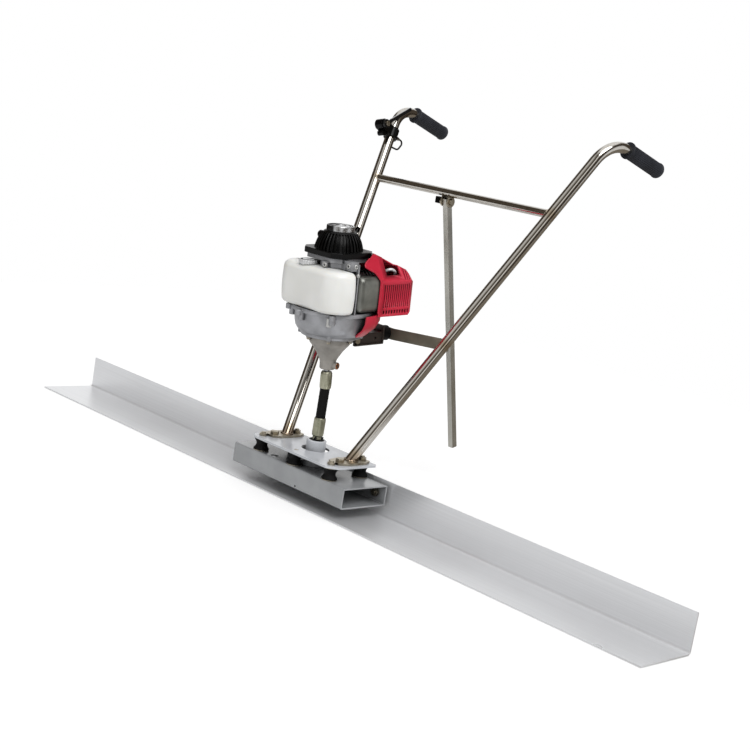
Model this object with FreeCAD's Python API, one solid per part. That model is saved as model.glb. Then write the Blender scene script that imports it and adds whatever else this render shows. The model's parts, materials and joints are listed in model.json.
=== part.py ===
"""Power screed: a short petrol engine drives an eccentric shaft in a box beam on an aluminium board.

Frame: millimetres, +Z up, +X along the board, +Y towards the operator.
The origin is on the sole of the board, straight below the eccentric shaft.
"""
import FreeCAD, Part
import math
import os

os.makedirs("parts", exist_ok=True)

# ---------------------------------------------------------------- driving dimensions
BOARD_LENGTH = 2000.0
BOARD_FRONT_Y = -87.0
BOARD_BACK_Y = 66.5
BOARD_HEIGHT = 83.5
BOARD_GAUGE = 3.0
BOARD_BEND = 8.0

BOX_LENGTH = 377.0
BOX_DEPTH = 132.0
BOX_HEIGHT = 46.0
BOX_BOTTOM_Z = 30.3
BOX_FRONT_Y = -76.6
BOX_WALL = 3.0
BOX_BOLT_X = (-160.0, 0.0, 160.0)
BOX_BOLT_Z = 54.0

MOUNT_HEIGHT = 28.7
MOUNT_RADIUS = 18.0
MOUNT_WAIST = 12.8
FRONT_MOUNTS = ((-118.0, -57.0), (0.0, -57.0), (118.0, -57.0))
BACK_MOUNTS = ((-113.0, 39.5), (113.0, 39.5))

PLATE_HALF_X = 145.0
PLATE_FRONT_Y = -79.0
PLATE_BACK_Y = 58.0
PLATE_GAUGE = 5.0
PLATE_HOLE = 32.0

BEARING_OUTER = 17.5
BEARING_INNER = 7.55
BEARING_WIDTH = 11.0
SHAFT_RADIUS = 7.5
HOSE_RADIUS = 11.0

HANDLE_RADIUS = 12.5
HANDLE_BORE = 11.0
FLANGE_X = 113.0
FLANGE_GAUGE = 5.0
HANDLE_FOOT = (111.6, 9.6, 119.4)
HANDLE_CORNER = (336.0, 423.0, 894.0)
HANDLE_BEND = 72.0
GRIP_DIRECTION = (0.053, 0.958, -0.281)
GRIP_START = 61.0
GRIP_LENGTH = 126.0
GRIP_RADIUS = 17.5

UPPER_BAR_Z = 712.0
UPPER_BAR_RADIUS = 9.5
LOWER_BAR_Z = 381.0
LOWER_BAR_RISE = 13.0
LOWER_BAR_FLAT = 22.0
LOWER_BAR_HEIGHT = 26.0
LOWER_BAR_FRONT_Y = 161.5
LOWER_BAR_GAUGE = 5.0

CLAMP_Z = 822.0
LEVER_PIVOT = (-2.0, 45.0)
LEVER_TIP = (84.0, -18.5)
LEVER_OFFSET = 16.5
CABLE_RADIUS = 2.2
CABLE_BENDS = (7.5, 15.0, 11.0, 20.0, 30.0, 40.0)
CABLE_EXIT_Z = 590.0

KICKSTAND_X = -32.0
KICKSTAND_PIVOT_Z = 691.5
KICKSTAND_TUBE = 15.0
KICKSTAND_WALL = 1.5
KICKSTAND_LENGTH = 632.0
KICKSTAND_LEAN = 15.7

ENGINE_TILT = 4.7
TILT_HEIGHT = 254.5

# ---------------------------------------------------------------- derived levels
V = FreeCAD.Vector
UP = V(0, 0, 1)
ACROSS = V(1, 0, 0)
BACKWARDS = V(0, 1, 0)

BOX_TOP_Z = BOX_BOTTOM_Z + BOX_HEIGHT
BOX_BACK_Y = BOX_FRONT_Y + BOX_DEPTH
LEG_INNER_Y = BOARD_BACK_Y - BOARD_GAUGE
PLATE_BOTTOM_Z = BOX_TOP_Z + MOUNT_HEIGHT
PLATE_TOP_Z = PLATE_BOTTOM_Z + PLATE_GAUGE
FLANGE_TOP_Z = PLATE_TOP_Z + FLANGE_GAUGE
SIDES = (-1, 1)

# Groups of small parts that several functions add to; they are written at the end.
FRAME_FASTENERS = []
ENGINE_BOLTS = []
BALL_BEARINGS = []


# ---------------------------------------------------------------- helpers
def save(name, *solids):
    """Write one node: a single solid, or a group of separate solids."""
    shape = solids[0] if len(solids) == 1 else Part.makeCompound(list(solids))
    shape.exportStep("parts/" + name + ".step")


def box(x0, x1, y0, y1, z0, z1):
    return Part.makeBox(x1 - x0, y1 - y0, z1 - z0, V(x0, y0, z0))


def rod(radius, start, end):
    """A round bar from start to end."""
    axis = end - start
    return Part.makeCylinder(radius, axis.Length, start, axis)


def drum(radius, z0, z1, x=0.0, y=0.0):
    """An upright round bar."""
    return Part.makeCylinder(radius, z1 - z0, V(x, y, z0))


def spots(reach, angles):
    """Points on a circle about the Z axis, as (x, y) pairs."""
    turns = [math.radians(angle) for angle in angles]
    return [(reach * math.cos(turn), reach * math.sin(turn)) for turn in turns]


def turned(profile):
    """A solid of revolution about Z from (radius, z) points."""
    points = [V(radius, 0, z) for radius, z in profile]
    face = Part.Face(Part.makePolygon(points + points[:1]))
    return face.revolve(V(0, 0, 0), UP, 360)


def slab(outline, z0, z1):
    """An upright prism from (x, y) points."""
    points = [V(x, y, z0) for x, y in outline]
    return Part.Face(Part.makePolygon(points + points[:1])).extrude(V(0, 0, z1 - z0))


def hex_prism(flats, start, end):
    """A hexagon bar from start to end, as a nut or a bolt head."""
    axis = end - start
    corner = flats / math.sqrt(3)
    ring = [V(corner * math.cos(math.radians(60 * i)), corner * math.sin(math.radians(60 * i)), 0)
            for i in range(7)]
    prism = Part.Face(Part.makePolygon(ring)).extrude(V(0, 0, axis.Length))
    prism.Placement = FreeCAD.Placement(start, FreeCAD.Rotation(UP, axis))
    return prism


def hex_bolt(radius, flats, head, start, end):
    """A hexagon bolt: the head lies before start, the shank runs from start to end."""
    axis = (end - start).normalize()
    shank = rod(radius, start - axis * (head / 2), end)
    return hex_prism(flats, start - axis * head, start).fuse(shank).removeSplitter()


def nut(radius, flats, start, end):
    return hex_prism(flats, start, end).cut(rod(radius + 0.05, start - (end - start), end + (end - start)))


def disc(centre, axis, radius):
    return Part.Face(Part.Wire(Part.makeCircle(radius, centre, axis)))


def bent_rod(points, bends, radius):
    """A round bar along straight runs that are joined by tangent arcs of the given bend radii."""
    pieces = []
    position = points[0]
    for i, bend in enumerate(bends, 1):
        direction = (points[i] - points[i - 1]).normalize()
        onward = (points[i + 1] - points[i]).normalize()
        turn = direction.getAngle(onward)
        trim = bend * math.tan(turn / 2)
        bend_start = points[i] - direction * trim
        pieces.append(rod(radius, position, bend_start))
        axis = direction.cross(onward).normalize()
        centre = bend_start + axis.cross(direction) * bend
        pieces.append(disc(bend_start, direction, radius).revolve(centre, axis, math.degrees(turn)))
        position = points[i] + onward * trim
    pieces.append(rod(radius, position, points[-1]))
    return pieces[0].multiFuse(pieces[1:]).removeSplitter().Solids[0]


def mirrored(shape):
    return shape.mirror(V(0, 0, 0), ACROSS)


def tilted(shape):
    """Lean an engine piece forward about the top of the flexible hose."""
    leaning = shape.copy()
    leaning.rotate(V(0, 0, TILT_HEIGHT), ACROSS, ENGINE_TILT)
    return leaning


def tilted_point(x, y, z):
    angle = math.radians(ENGINE_TILT)
    rise = z - TILT_HEIGHT
    return V(x, y * math.cos(angle) - rise * math.sin(angle),
             TILT_HEIGHT + y * math.sin(angle) + rise * math.cos(angle))


# ---------------------------------------------------------------- board and exciter box
def screed_board():
    """An aluminium angle with one rounded outer and inner bend."""
    inner_bend = BOARD_BEND - BOARD_GAUGE
    turn = math.sqrt(0.5)
    outer_centre = V(0, BOARD_BACK_Y - BOARD_BEND, BOARD_BEND)
    half = -BOARD_LENGTH / 2

    def at(y, z):
        return V(half, y, z)

    def bend(radius):
        centre = at(outer_centre.y, outer_centre.z)
        return Part.Arc(centre + V(0, 0, -radius), centre + V(0, radius * turn, -radius * turn),
                        centre + V(0, radius, 0)).toShape()

    corners = (at(BOARD_FRONT_Y, 0), at(BOARD_BACK_Y - BOARD_BEND, 0), at(BOARD_BACK_Y, BOARD_BEND),
               at(BOARD_BACK_Y, BOARD_HEIGHT), at(LEG_INNER_Y, BOARD_HEIGHT),
               at(LEG_INNER_Y, BOARD_BEND), at(BOARD_BACK_Y - BOARD_BEND, BOARD_GAUGE),
               at(BOARD_FRONT_Y, BOARD_GAUGE))
    edges = [Part.makeLine(corners[0], corners[1]), bend(BOARD_BEND),
             Part.makeLine(corners[2], corners[3]), Part.makeLine(corners[3], corners[4]),
             Part.makeLine(corners[4], corners[5]), bend(inner_bend),
             Part.makeLine(corners[6], corners[7]), Part.makeLine(corners[7], corners[0])]
    face = Part.Face(Part.Wire(Part.__sortEdges__(edges)))
    board = face.extrude(V(BOARD_LENGTH, 0, 0))
    for x in BOX_BOLT_X:
        board = board.cut(rod(5.4, V(x, LEG_INNER_Y - 5, BOX_BOLT_Z), V(x, BOARD_BACK_Y + 5, BOX_BOLT_Z)))
    save("screed_board", board)


def exciter_box():
    """A rectangular tube with open ends, drilled for the housing, the mounts and the bolts."""
    half = BOX_LENGTH / 2
    outer = box(-half, half, BOX_FRONT_Y, BOX_BACK_Y, BOX_BOTTOM_Z, BOX_TOP_Z)
    inner = box(-half - 5, half + 5, BOX_FRONT_Y + BOX_WALL, BOX_BACK_Y - BOX_WALL,
                BOX_BOTTOM_Z + BOX_WALL, BOX_TOP_Z - BOX_WALL)
    outer = outer.makeFillet(4.0, [e for e in outer.Edges if abs(e.Length - BOX_LENGTH) < 0.1])
    inner = inner.makeFillet(1.2, [e for e in inner.Edges if abs(e.Length - BOX_LENGTH - 10) < 0.1])
    shell = outer.cut(inner)
    holes = [drum(30.6, BOX_TOP_Z - 8, BOX_TOP_Z + 5), drum(9.0, BOX_TOP_Z - 8, BOX_TOP_Z + 5, -68, -57)]
    for x, y in FRONT_MOUNTS + BACK_MOUNTS:
        holes.append(drum(5.3, BOX_TOP_Z - 8, BOX_TOP_Z + 5, x, y))
    for x in BOX_BOLT_X:
        holes.append(rod(5.4, V(x, BOX_BACK_Y - 8, BOX_BOLT_Z), V(x, BOX_BACK_Y + 5, BOX_BOLT_Z)))
    holes.append(rod(2.5, V(35, BOX_FRONT_Y - 5, 37), V(35, BOX_FRONT_Y + 8, 37)))
    for x, y in spots(HOUSING_BOLT_REACH, HOUSING_BOLT_ANGLES):
        holes.append(drum(3.2, BOX_TOP_Z - 8, BOX_TOP_Z + 5, x, y))
    save("exciter_box", shell.cut(Part.makeCompound(holes)))


def box_fixings():
    """Spacers between the box and the upright leg, with their bolts and nuts."""
    spacers = []
    for x in BOX_BOLT_X:
        front = V(x, BOX_BACK_Y, BOX_BOLT_Z)
        back = V(x, LEG_INNER_Y, BOX_BOLT_Z)
        spacers.append(rod(12.0, front, back).cut(rod(5.4, front - BACKWARDS * 2, back + BACKWARDS * 2)))
        inside = V(x, BOX_BACK_Y - BOX_WALL, BOX_BOLT_Z)
        head = V(x, BOARD_BACK_Y, BOX_BOLT_Z)
        FRAME_FASTENERS.append(hex_bolt(5.0, 17.0, 6.4, head, inside - BACKWARDS * 9.5))
        FRAME_FASTENERS.append(nut(5.0, 17.0, inside - BACKWARDS * 8, inside))
    save("box_spacers", *spacers)


# ---------------------------------------------------------------- rubber mounts and upper plate
def rubber_mount(x, y):
    """A waisted rubber buffer, drawn with one arc between its two ends."""
    rim = 3.5
    top = MOUNT_HEIGHT
    wire = Part.Wire([
        Part.makeLine(V(0, 0, 0), V(MOUNT_RADIUS, 0, 0)),
        Part.makeLine(V(MOUNT_RADIUS, 0, 0), V(MOUNT_RADIUS, 0, rim)),
        Part.Arc(V(MOUNT_RADIUS, 0, rim), V(MOUNT_WAIST, 0, top / 2),
                 V(MOUNT_RADIUS, 0, top - rim)).toShape(),
        Part.makeLine(V(MOUNT_RADIUS, 0, top - rim), V(MOUNT_RADIUS, 0, top)),
        Part.makeLine(V(MOUNT_RADIUS, 0, top), V(0, 0, top)),
        Part.makeLine(V(0, 0, top), V(0, 0, 0))])
    mount = Part.Face(wire).revolve(V(0, 0, 0), UP, 360)
    mount.translate(V(x, y, BOX_TOP_Z))
    return mount


def rubber_mounts():
    save("rubber_mounts", *[rubber_mount(x, y) for x, y in FRONT_MOUNTS + BACK_MOUNTS])
    for x, y in FRONT_MOUNTS + BACK_MOUNTS:
        seat = PLATE_TOP_Z if (x, y) in FRONT_MOUNTS else FLANGE_TOP_Z
        under = BOX_TOP_Z - BOX_WALL
        if x == 0:
            FRAME_FASTENERS.append(drum(5.0, PLATE_BOTTOM_Z, PLATE_TOP_Z, x, y))
        else:
            FRAME_FASTENERS.append(drum(5.0, PLATE_BOTTOM_Z, seat + 9, x, y))
            FRAME_FASTENERS.append(nut(5.0, 16.0, V(x, y, seat), V(x, y, seat + 6)))
        FRAME_FASTENERS.append(drum(5.0, under - 11, BOX_TOP_Z, x, y))
        FRAME_FASTENERS.append(nut(5.0, 17.0, V(x, y, under - 8), V(x, y, under)))


def upper_plate():
    """The plate that carries the handles, with a clearance hole round the bearing housing."""
    cut = 22.0
    nick = 5.0
    right = [(PLATE_HALF_X - cut, PLATE_FRONT_Y), (PLATE_HALF_X, PLATE_FRONT_Y + cut),
             (PLATE_HALF_X, PLATE_BACK_Y - nick), (PLATE_HALF_X - nick, PLATE_BACK_Y)]
    outline = right + [(-x, y) for x, y in reversed(right)]
    plate = slab(outline, PLATE_BOTTOM_Z, PLATE_TOP_Z)
    holes = [drum(PLATE_HOLE, PLATE_BOTTOM_Z - 5, PLATE_TOP_Z + 5)]
    for x, y in FRONT_MOUNTS + BACK_MOUNTS:
        holes.append(drum(5.3, PLATE_BOTTOM_Z - 5, PLATE_TOP_Z + 5, x, y))
    for side in SIDES:
        holes.append(drum(5.3, PLATE_BOTTOM_Z - 5, PLATE_TOP_Z + 5, side * FLANGE_X, -28.0))
    save("upper_plate", plate.cut(Part.makeCompound(holes)))


# ---------------------------------------------------------------- eccentric drive
HOUSING_TOP_Z = 131.0
HOUSING_BOLT_REACH = 34.2
HOUSING_BOLT_ANGLES = (45, 135, 225, 315)
LOWER_BEARING_Z = 57.5
UPPER_BEARING_Z = 110.0


def bearing_housing():
    """A flanged housing: its lower end hangs in the box, its collar stands through the plate."""
    body = turned([(0, 56.5), (30, 56.5), (30, BOX_TOP_Z), (38.5, BOX_TOP_Z), (38.5, 86.3), (24, 86.3),
                   (22.5, 90), (22.5, HOUSING_TOP_Z - 1.5), (21, HOUSING_TOP_Z), (0, HOUSING_TOP_Z)])
    seat = BEARING_OUTER + 0.05
    bores = [drum(seat, 50, LOWER_BEARING_Z + BEARING_WIDTH),
             drum(12.0, LOWER_BEARING_Z, UPPER_BEARING_Z + 5),
             drum(seat, UPPER_BEARING_Z, HOUSING_TOP_Z + 5)]
    for x, y in spots(HOUSING_BOLT_REACH, HOUSING_BOLT_ANGLES):
        bores.append(drum(3.2, BOX_TOP_Z - 1, 95, x, y))
    save("bearing_housing", body.cut(Part.makeCompound(bores)))
    bolts = [hex_bolt(3.0, 10.0, 4.0, V(x, y, 86.3), V(x, y, BOX_TOP_Z - 9))
             for x, y in spots(HOUSING_BOLT_REACH, HOUSING_BOLT_ANGLES)]
    save("housing_bolts", *bolts)


def bearing(z0, outer=BEARING_OUTER, inner=BEARING_INNER, width=BEARING_WIDTH):
    return drum(outer, z0, z0 + width).cut(drum(inner, z0 - 1, z0 + width + 1))


def eccentric_drive():
    """The bearings, the seal, the shaft and its half-round weight."""
    BALL_BEARINGS.extend([bearing(LOWER_BEARING_Z), bearing(UPPER_BEARING_Z)])
    save("shaft_seal", drum(BEARING_OUTER, 122, 129).cut(drum(SHAFT_RADIUS + 0.3, 120, 131)))
    shaft = drum(SHAFT_RADIUS, 41, 158)
    shaft = shaft.fuse(drum(10.0, LOWER_BEARING_Z + BEARING_WIDTH + 0.4, UPPER_BEARING_Z - 0.4))
    save("eccentric_shaft", shaft.cut(drum(3.1, 40, 55)).removeSplitter())
    weight = drum(42.0, 42, 55.8).cut(box(-50, 50, 0, 50, 40, 60)).fuse(drum(15.0, 42, 55.8))
    save("eccentric_weight", weight.cut(drum(SHAFT_RADIUS + 0.05, 40, 60)).removeSplitter())
    screw = hex_bolt(3.0, 10.0, 3.6, V(0, 0, 39.8), V(0, 0, 54))
    washer = drum(12.0, 39.8, 41.0).cut(drum(3.1, 38, 43))
    save("weight_screw", screw, washer)


def drive_hose():
    """The crimped ferrules and the rubber hose between the shaft and the engine."""
    lower = turned([(0, 132.5), (10.5, 132.5), (10.5, 139), (13, 142), (13.4, 146), (13.4, 178),
                    (12.6, 182),
                    (0, 182)])
    lower = lower.cut(drum(SHAFT_RADIUS + 0.05, 130, 159)).cut(drum(HOSE_RADIUS + 0.05, 160, 185))
    screws = []
    for angle in (-60, 40):
        direction = V(math.cos(math.radians(angle)), math.sin(math.radians(angle)), 0)
        centre = V(0, 0, 136)
        lower = lower.cut(rod(3.05, centre, centre + direction * 20))
        screws.append(rod(3.0, centre + direction * 7.6, centre + direction * 14))
    save("lower_ferrule", lower)
    save("ferrule_screws", *screws)
    save("drive_hose", drum(HOSE_RADIUS, 160, 258))
    upper = turned([(0, 251), (12.4, 251), (13, 254), (13, 286), (11, 290), (0, 290)])
    upper = upper.cut(drum(HOSE_RADIUS + 0.6, 249, 260)).cut(drum(6.05, 262, 295))
    save("upper_ferrule", tilted(upper))


# ---------------------------------------------------------------- drive cone and clutch
CONE_BOTTOM_Z = 296.0
CONE_EARS = (15, 75, 135, 195, 255, 315)
CONE_EAR_REACH = 53.0
CASE_BOTTOM_Z = 373.0
CASE_TOP_Z = 436.0


def drive_cone():
    """The bell-shaped adaptor between the clutch and the hose, held to the fan case by six ears."""
    outer = turned([(0, CONE_BOTTOM_Z), (16, CONE_BOTTOM_Z), (17.5, 298), (18, 311), (20, 319), (25, 328),
                    (31, 338), (38, 347), (44, 354), (47, 359), (48, CASE_BOTTOM_Z), (0, CASE_BOTTOM_Z)])
    boss = rod(8.0, V(8, 2, 307), V(26, 6.5, 307))
    cavity = turned([(0, 342), (14, 342), (32, 352), (42, 362), (43, CASE_BOTTOM_Z + 1),
                     (0, CASE_BOTTOM_Z + 1)])
    ears, holes = [], []
    for x, y in spots(CONE_EAR_REACH, CONE_EARS):
        ears.append(drum(6.0, CASE_BOTTOM_Z - 5, CASE_BOTTOM_Z, x, y))
        holes.append(drum(2.7, CASE_BOTTOM_Z - 10, CASE_BOTTOM_Z + 4, x, y))
        bolt = hex_bolt(2.6, 8.0, 4.0, V(x, y, CASE_BOTTOM_Z - 5), V(x, y, CASE_BOTTOM_Z + 6))
        ENGINE_BOLTS.append(tilted(bolt))
    cone = outer.multiFuse([boss] + ears).cut(cavity).cut(drum(12.05, 290, 345))
    cone = cone.cut(rod(3.1, V(12.2, 3.0, 307), V(32, 8, 307)))
    save("drive_cone", tilted(cone.cut(Part.makeCompound(holes)).removeSplitter()))
    save("output_bearings", tilted(bearing(298, 12.0, 6.04, 6)), tilted(bearing(334, 12.0, 6.04, 6)))
    save("output_shaft", tilted(drum(6.0, 263, 372)))
    cup = turned([(0, 356), (11, 356), (11, 370), (40.5, 370), (40.5, 394), (38, 394), (38, 373), (0, 373)])
    save("clutch_drum", tilted(cup.cut(drum(6.05, 350, 380))))


def centrifugal_clutch():
    """Two weighted shoes that swing on pins under the flywheel."""
    shoes = []
    for side in SIDES:
        ring = drum(37.0, 377, 391).cut(drum(15.0, 375, 393))
        keep = box(2, 50, -50, 50, 375, 393) if side > 0 else box(-50, -2, -50, 50, 375, 393)
        shoes.append(ring.common(keep).cut(drum(4.1, 375, 393, side * 26, 0)))
    save("clutch_shoes", *[tilted(shoe) for shoe in shoes])


def flywheel():
    wheel = drum(66.0, 398, 405).fuse(drum(15.0, 396, 428))
    blades = []
    for i in range(14):
        blade = box(30, 64, -1.5, 1.5, 404, 424)
        blade.rotate(V(45, 0, 0), UP, 25)
        blade.rotate(V(0, 0, 0), UP, i * 360 / 14)
        blades.append(blade)
    pins = [drum(4.0, 377, 399, side * 26, 0) for side in SIDES]
    wheel = wheel.multiFuse(blades + pins).cut(drum(SHAFT_RADIUS + 0.05, 390, 430))
    save("flywheel_fan", tilted(wheel.removeSplitter()))


# ---------------------------------------------------------------- engine castings
CRANK_Z = 485.0


def fan_cover():
    """The cast bowl round the flywheel, with bolt ears on its rim and a foot for the bracket."""
    bowl = turned([(0, CASE_BOTTOM_Z), (59, CASE_BOTTOM_Z), (60, 374), (65, 374.6), (67.5, 376.5),
                   (68, 380.5), (70.5, 381.5), (76, 387), (80, 393.5), (82.5, 404), (84, 416), (84.5, 429),
                   (92, 430), (92, CASE_TOP_Z), (0, CASE_TOP_Z)])
    ears = [drum(7.0, 422, CASE_TOP_Z, x, y) for x, y in spots(97.0, (190, 228, 268, 318))]
    ribs = [drum(7.0, 422, CASE_TOP_Z, x, y) for x, y in spots(88.0, (190, 228, 268, 318))]
    foot = box(-13, 13, 59, 100, 373.5, 412)
    cavity = turned([(0, 365), (45, 365), (45, 382), (60, 385), (68, 394), (75, 405), (79, 414), (80, 429),
                     (81, 440), (0, 440)])
    cone_spots = spots(CONE_EAR_REACH, CONE_EARS)
    bolt_holes = [drum(2.7, CASE_BOTTOM_Z - 1, CASE_BOTTOM_Z + 7, x, y) for x, y in cone_spots]
    bolt_holes += [drum(2.7, 370, 386, 0, y) for y in (72, 90)]
    cover = bowl.multiFuse(ears + ribs + [foot]).cut(cavity).cut(Part.makeCompound(bolt_holes))
    save("fan_cover", tilted(cover.removeSplitter()))


def crankcase():
    """The casting round the crank, with a base plate, a cylinder pad, a web and a starter plate."""
    base = drum(91.0, CASE_TOP_Z, 438.5)
    barrel = drum(45.0, 438, 546)
    pad = box(-32, 32, 0, 48, 453, 517)
    top = slab([(-56, -38), (-38, -56), (38, -56), (56, -38), (56, 38), (38, 56), (-38, 56), (-56, 38)],
               545, 555)
    lugs = [drum(8.0, 533.5, 546, 24, -56), box(62, 86, -36, -15.5, 533.5, 553),
            box(50, 70, -34, -24, 540, 553)]
    wall = [(4, -53), (38, -53), (54, -37), (68, -37), (68, -33), (52, -33), (36, -49), (4, -49)]
    lugs.append(slab(wall, 533.5, 546))
    web = box(40, 90, -19, -15.5, 438, 548)
    body = base.multiFuse([barrel, pad, top, web] + lugs)
    voids = [drum(36.0, 452, 516), rod(20.0, V(0, 0, CRANK_Z), V(0, 60, CRANK_Z)),
             drum(17.55, 430, 448), drum(9.0, 446, 560), drum(17.55, 522, 533),
             box(-40, 40, 50, 80, 430, 445), rod(3.0, V(76, -40, 543), V(76, -26, 543)),
             drum(3.0, 530, 545.5, 24, -56)]
    body = body.cut(Part.makeCompound(voids))
    save("crankcase", tilted(body.removeSplitter()))
    BALL_BEARINGS.extend([tilted(bearing(437)), tilted(bearing(522))])


def crankshaft():
    """A built-up crank: two webs, an offset pin and long journals."""
    lower = drum(SHAFT_RADIUS, 396, 463)
    upper = drum(SHAFT_RADIUS, 507, 566)
    webs = [drum(30.0, 462, 470), drum(30.0, 500, 508)]
    pin = drum(6.0, 469, 501, 0, 13)
    save("crankshaft", tilted(lower.multiFuse([upper, pin] + webs).removeSplitter()))


def cylinder():
    """The finned barrel and head, with an exhaust boss and an intake boss."""
    barrel = rod(25.0, V(0, 48, CRANK_Z), V(0, 124, CRANK_Z))
    foot = box(-32, 32, 48, 53, 453, 517)
    fins = [rod(38.0, V(0, y, CRANK_Z), V(0, y + 2.5, CRANK_Z)) for y in range(60, 120, 9)]
    bosses = [box(15, 46, 58, 82, 472, 498), box(-56, -15, 58, 82, 472, 498)]
    body = barrel.multiFuse([foot] + fins + bosses)
    bore = rod(19.5, V(0, 40, CRANK_Z), V(0, 116, CRANK_Z))
    ports = [rod(8.0, V(10, 70, CRANK_Z), V(50, 70, CRANK_Z)),
             rod(8.0, V(-60, 70, CRANK_Z), V(-10, 70, CRANK_Z))]
    plug = rod(5.05, V(0, 110, CRANK_Z), V(0, 130, CRANK_Z))
    save("cylinder", tilted(body.cut(Part.makeCompound([bore, plug] + ports)).removeSplitter()))
    crown = rod(19.45, V(0, 84, CRANK_Z), V(0, 101, CRANK_Z))
    save("piston", tilted(crown.cut(rod(16.0, V(0, 80, CRANK_Z), V(0, 96, CRANK_Z)))))
    spark = rod(5.0, V(0, 117, CRANK_Z), V(0, 125, CRANK_Z))
    spark = spark.fuse(hex_prism(16, V(0, 124, CRANK_Z), V(0, 132, CRANK_Z)))
    spark = spark.fuse(rod(5.0, V(0, 131, CRANK_Z), V(0, 143, CRANK_Z)))
    save("spark_plug", tilted(spark.removeSplitter()))
    cap = rod(9.0, V(0, 133, CRANK_Z), V(0, 158, CRANK_Z))
    cap = cap.fuse(rod(6.0, V(0, 150, CRANK_Z), V(-26, 150, CRANK_Z)))
    cap = cap.cut(rod(5.3, V(0, 130, CRANK_Z), V(0, 144, CRANK_Z)))
    save("plug_cap", tilted(cap.removeSplitter()))


# ---------------------------------------------------------------- fuel, air and exhaust
TANK_LEFT_X = -104.0
TANK_RIGHT_X = 96.0
TANK_FRONT_Y = -88.0
TANK_BACK_Y = -22.0
TANK_BOTTOM_Z = 439.2
TANK_TOP_Z = 532.0
FILLER_X = -23.0
FILLER_Y = -64.0


def tank_block(inset, front_corner, back_corner, edge):
    block = box(TANK_LEFT_X + inset, TANK_RIGHT_X - inset, TANK_FRONT_Y + inset, TANK_BACK_Y - inset,
                TANK_BOTTOM_Z + inset, TANK_TOP_Z - inset)
    uprights = [e for e in block.Edges if abs(e.Vertexes[0].X - e.Vertexes[1].X) < 0.1
                and abs(e.Vertexes[0].Y - e.Vertexes[1].Y) < 0.1]
    middle = (TANK_FRONT_Y + TANK_BACK_Y) / 2
    block = block.makeFillet(front_corner, [e for e in uprights if e.Vertexes[0].Y < middle])
    uprights = [e for e in block.Edges if e.BoundBox.ZLength > 60
                and e.BoundBox.YMin > TANK_BACK_Y - inset - 1]
    block = block.makeFillet(back_corner, uprights)
    levels = (TANK_BOTTOM_Z + inset, TANK_TOP_Z - inset)
    rims = [e for e in block.Edges if any(abs(e.BoundBox.ZMin - z) < 0.1 and abs(e.BoundBox.ZMax - z) < 0.1
                                          for z in levels)]
    return block.makeFillet(edge, rims)


def fuel_tank():
    """A rounded tank, hollowed round the crankcase, with a threaded filler neck."""
    neck = drum(16.0, TANK_TOP_Z - 4, TANK_TOP_Z + 6, FILLER_X, FILLER_Y)
    skin = tank_block(0.0, 46.0, 14.0, 11.0).fuse(neck)
    hollow = tank_block(3.0, 43.0, 11.0, 8.0).cut(drum(50.5, 400, 600))
    tank = skin.cut(drum(47.5, 400, 600)).cut(hollow)
    tank = tank.cut(drum(13.5, TANK_TOP_Z - 10, TANK_TOP_Z + 10, FILLER_X, FILLER_Y))
    save("fuel_tank", tilted(tank.removeSplitter()))
    cap = drum(21.0, TANK_TOP_Z + 0.5, TANK_TOP_Z + 11.5, FILLER_X, FILLER_Y)
    cap = cap.cut(drum(16.4, TANK_TOP_Z - 1, TANK_TOP_Z + 7, FILLER_X, FILLER_Y))
    save("fuel_cap", tilted(cap.makeFillet(2.0, [cap.Edges[0]])))


def exhaust():
    """The pressed-steel silencer and its stub to the exhaust port."""
    can = box(58, 96, -14, 64, 440, 519)
    can = can.makeFillet(15.0, [e for e in can.Edges if e.Length > 60])
    stub = rod(9.0, V(40, 76, CRANK_Z), V(60, 56, CRANK_Z)).cut(box(20, 46.1, 50, 95, 465, 505))
    can = can.fuse(stub)
    inner = box(60, 94, -12, 62, 442, 517)
    inner = inner.makeFillet(13.0, [e for e in inner.Edges if e.Length > 60])
    save("muffler", tilted(can.cut(inner).removeSplitter()))


THROTTLE_ARM_LENGTH = 26.0
THROTTLE_ARM_REST = 250.0
CABLE_STOP = (-107.0, 70.3, 532.5)


def intake():
    """Carburettor, throttle arm and air cleaner on the far side, with the stop that holds the cable."""
    body = box(-84, -56, 56, 84, 466, 506).fuse(rod(13.0, V(-70, 70, 455), V(-70, 70, 470)))
    body = body.cut(rod(8.0, V(-90, 70, CRANK_Z), V(-50, 70, CRANK_Z)))
    body = body.cut(drum(3.05, 498, 512, -70, 70))
    save("carburettor", tilted(body.removeSplitter()))
    rest = math.radians(THROTTLE_ARM_REST)
    tip = V(-70 + THROTTLE_ARM_LENGTH * math.cos(rest), 70 + THROTTLE_ARM_LENGTH * math.sin(rest), 0)
    arm = flat_bar((V(-70, 70, 532.5), tip + V(0, 0, 532.5)), 8.0, 3.0, UP)
    save("throttle_arm", tilted(arm.fuse(drum(3.0, 499, 532, -70, 70)).removeSplitter()))
    case = box(-114, -84, 34, 106, 446, 528)
    case = case.makeFillet(9.0, [e for e in case.Edges if e.BoundBox.XMax < -110])
    case = case.cut(box(-111, -84, 38, 102, 450, 524)).fuse(box(-87, -84, 34, 106, 446, 528))
    case = case.cut(rod(8.0, V(-90, 70, CRANK_Z), V(-80, 70, CRANK_Z)))
    stop = V(*CABLE_STOP)
    lug = box(stop.x - 4, stop.x + 4, stop.y - 4, stop.y + 4, 520, stop.z + 5)
    cable_axis = V(-0.705, 0.71, 0)
    case = case.fuse(lug).cut(rod(CABLE_RADIUS + 0.05, stop - cable_axis * 12, stop + cable_axis * 12))
    save("air_cleaner", tilted(case.removeSplitter()))


# ---------------------------------------------------------------- covers
SHROUD_BACK_Y = 166.0
SWITCH_Y = 128.0
SWITCH_Z = 500.0


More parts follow.
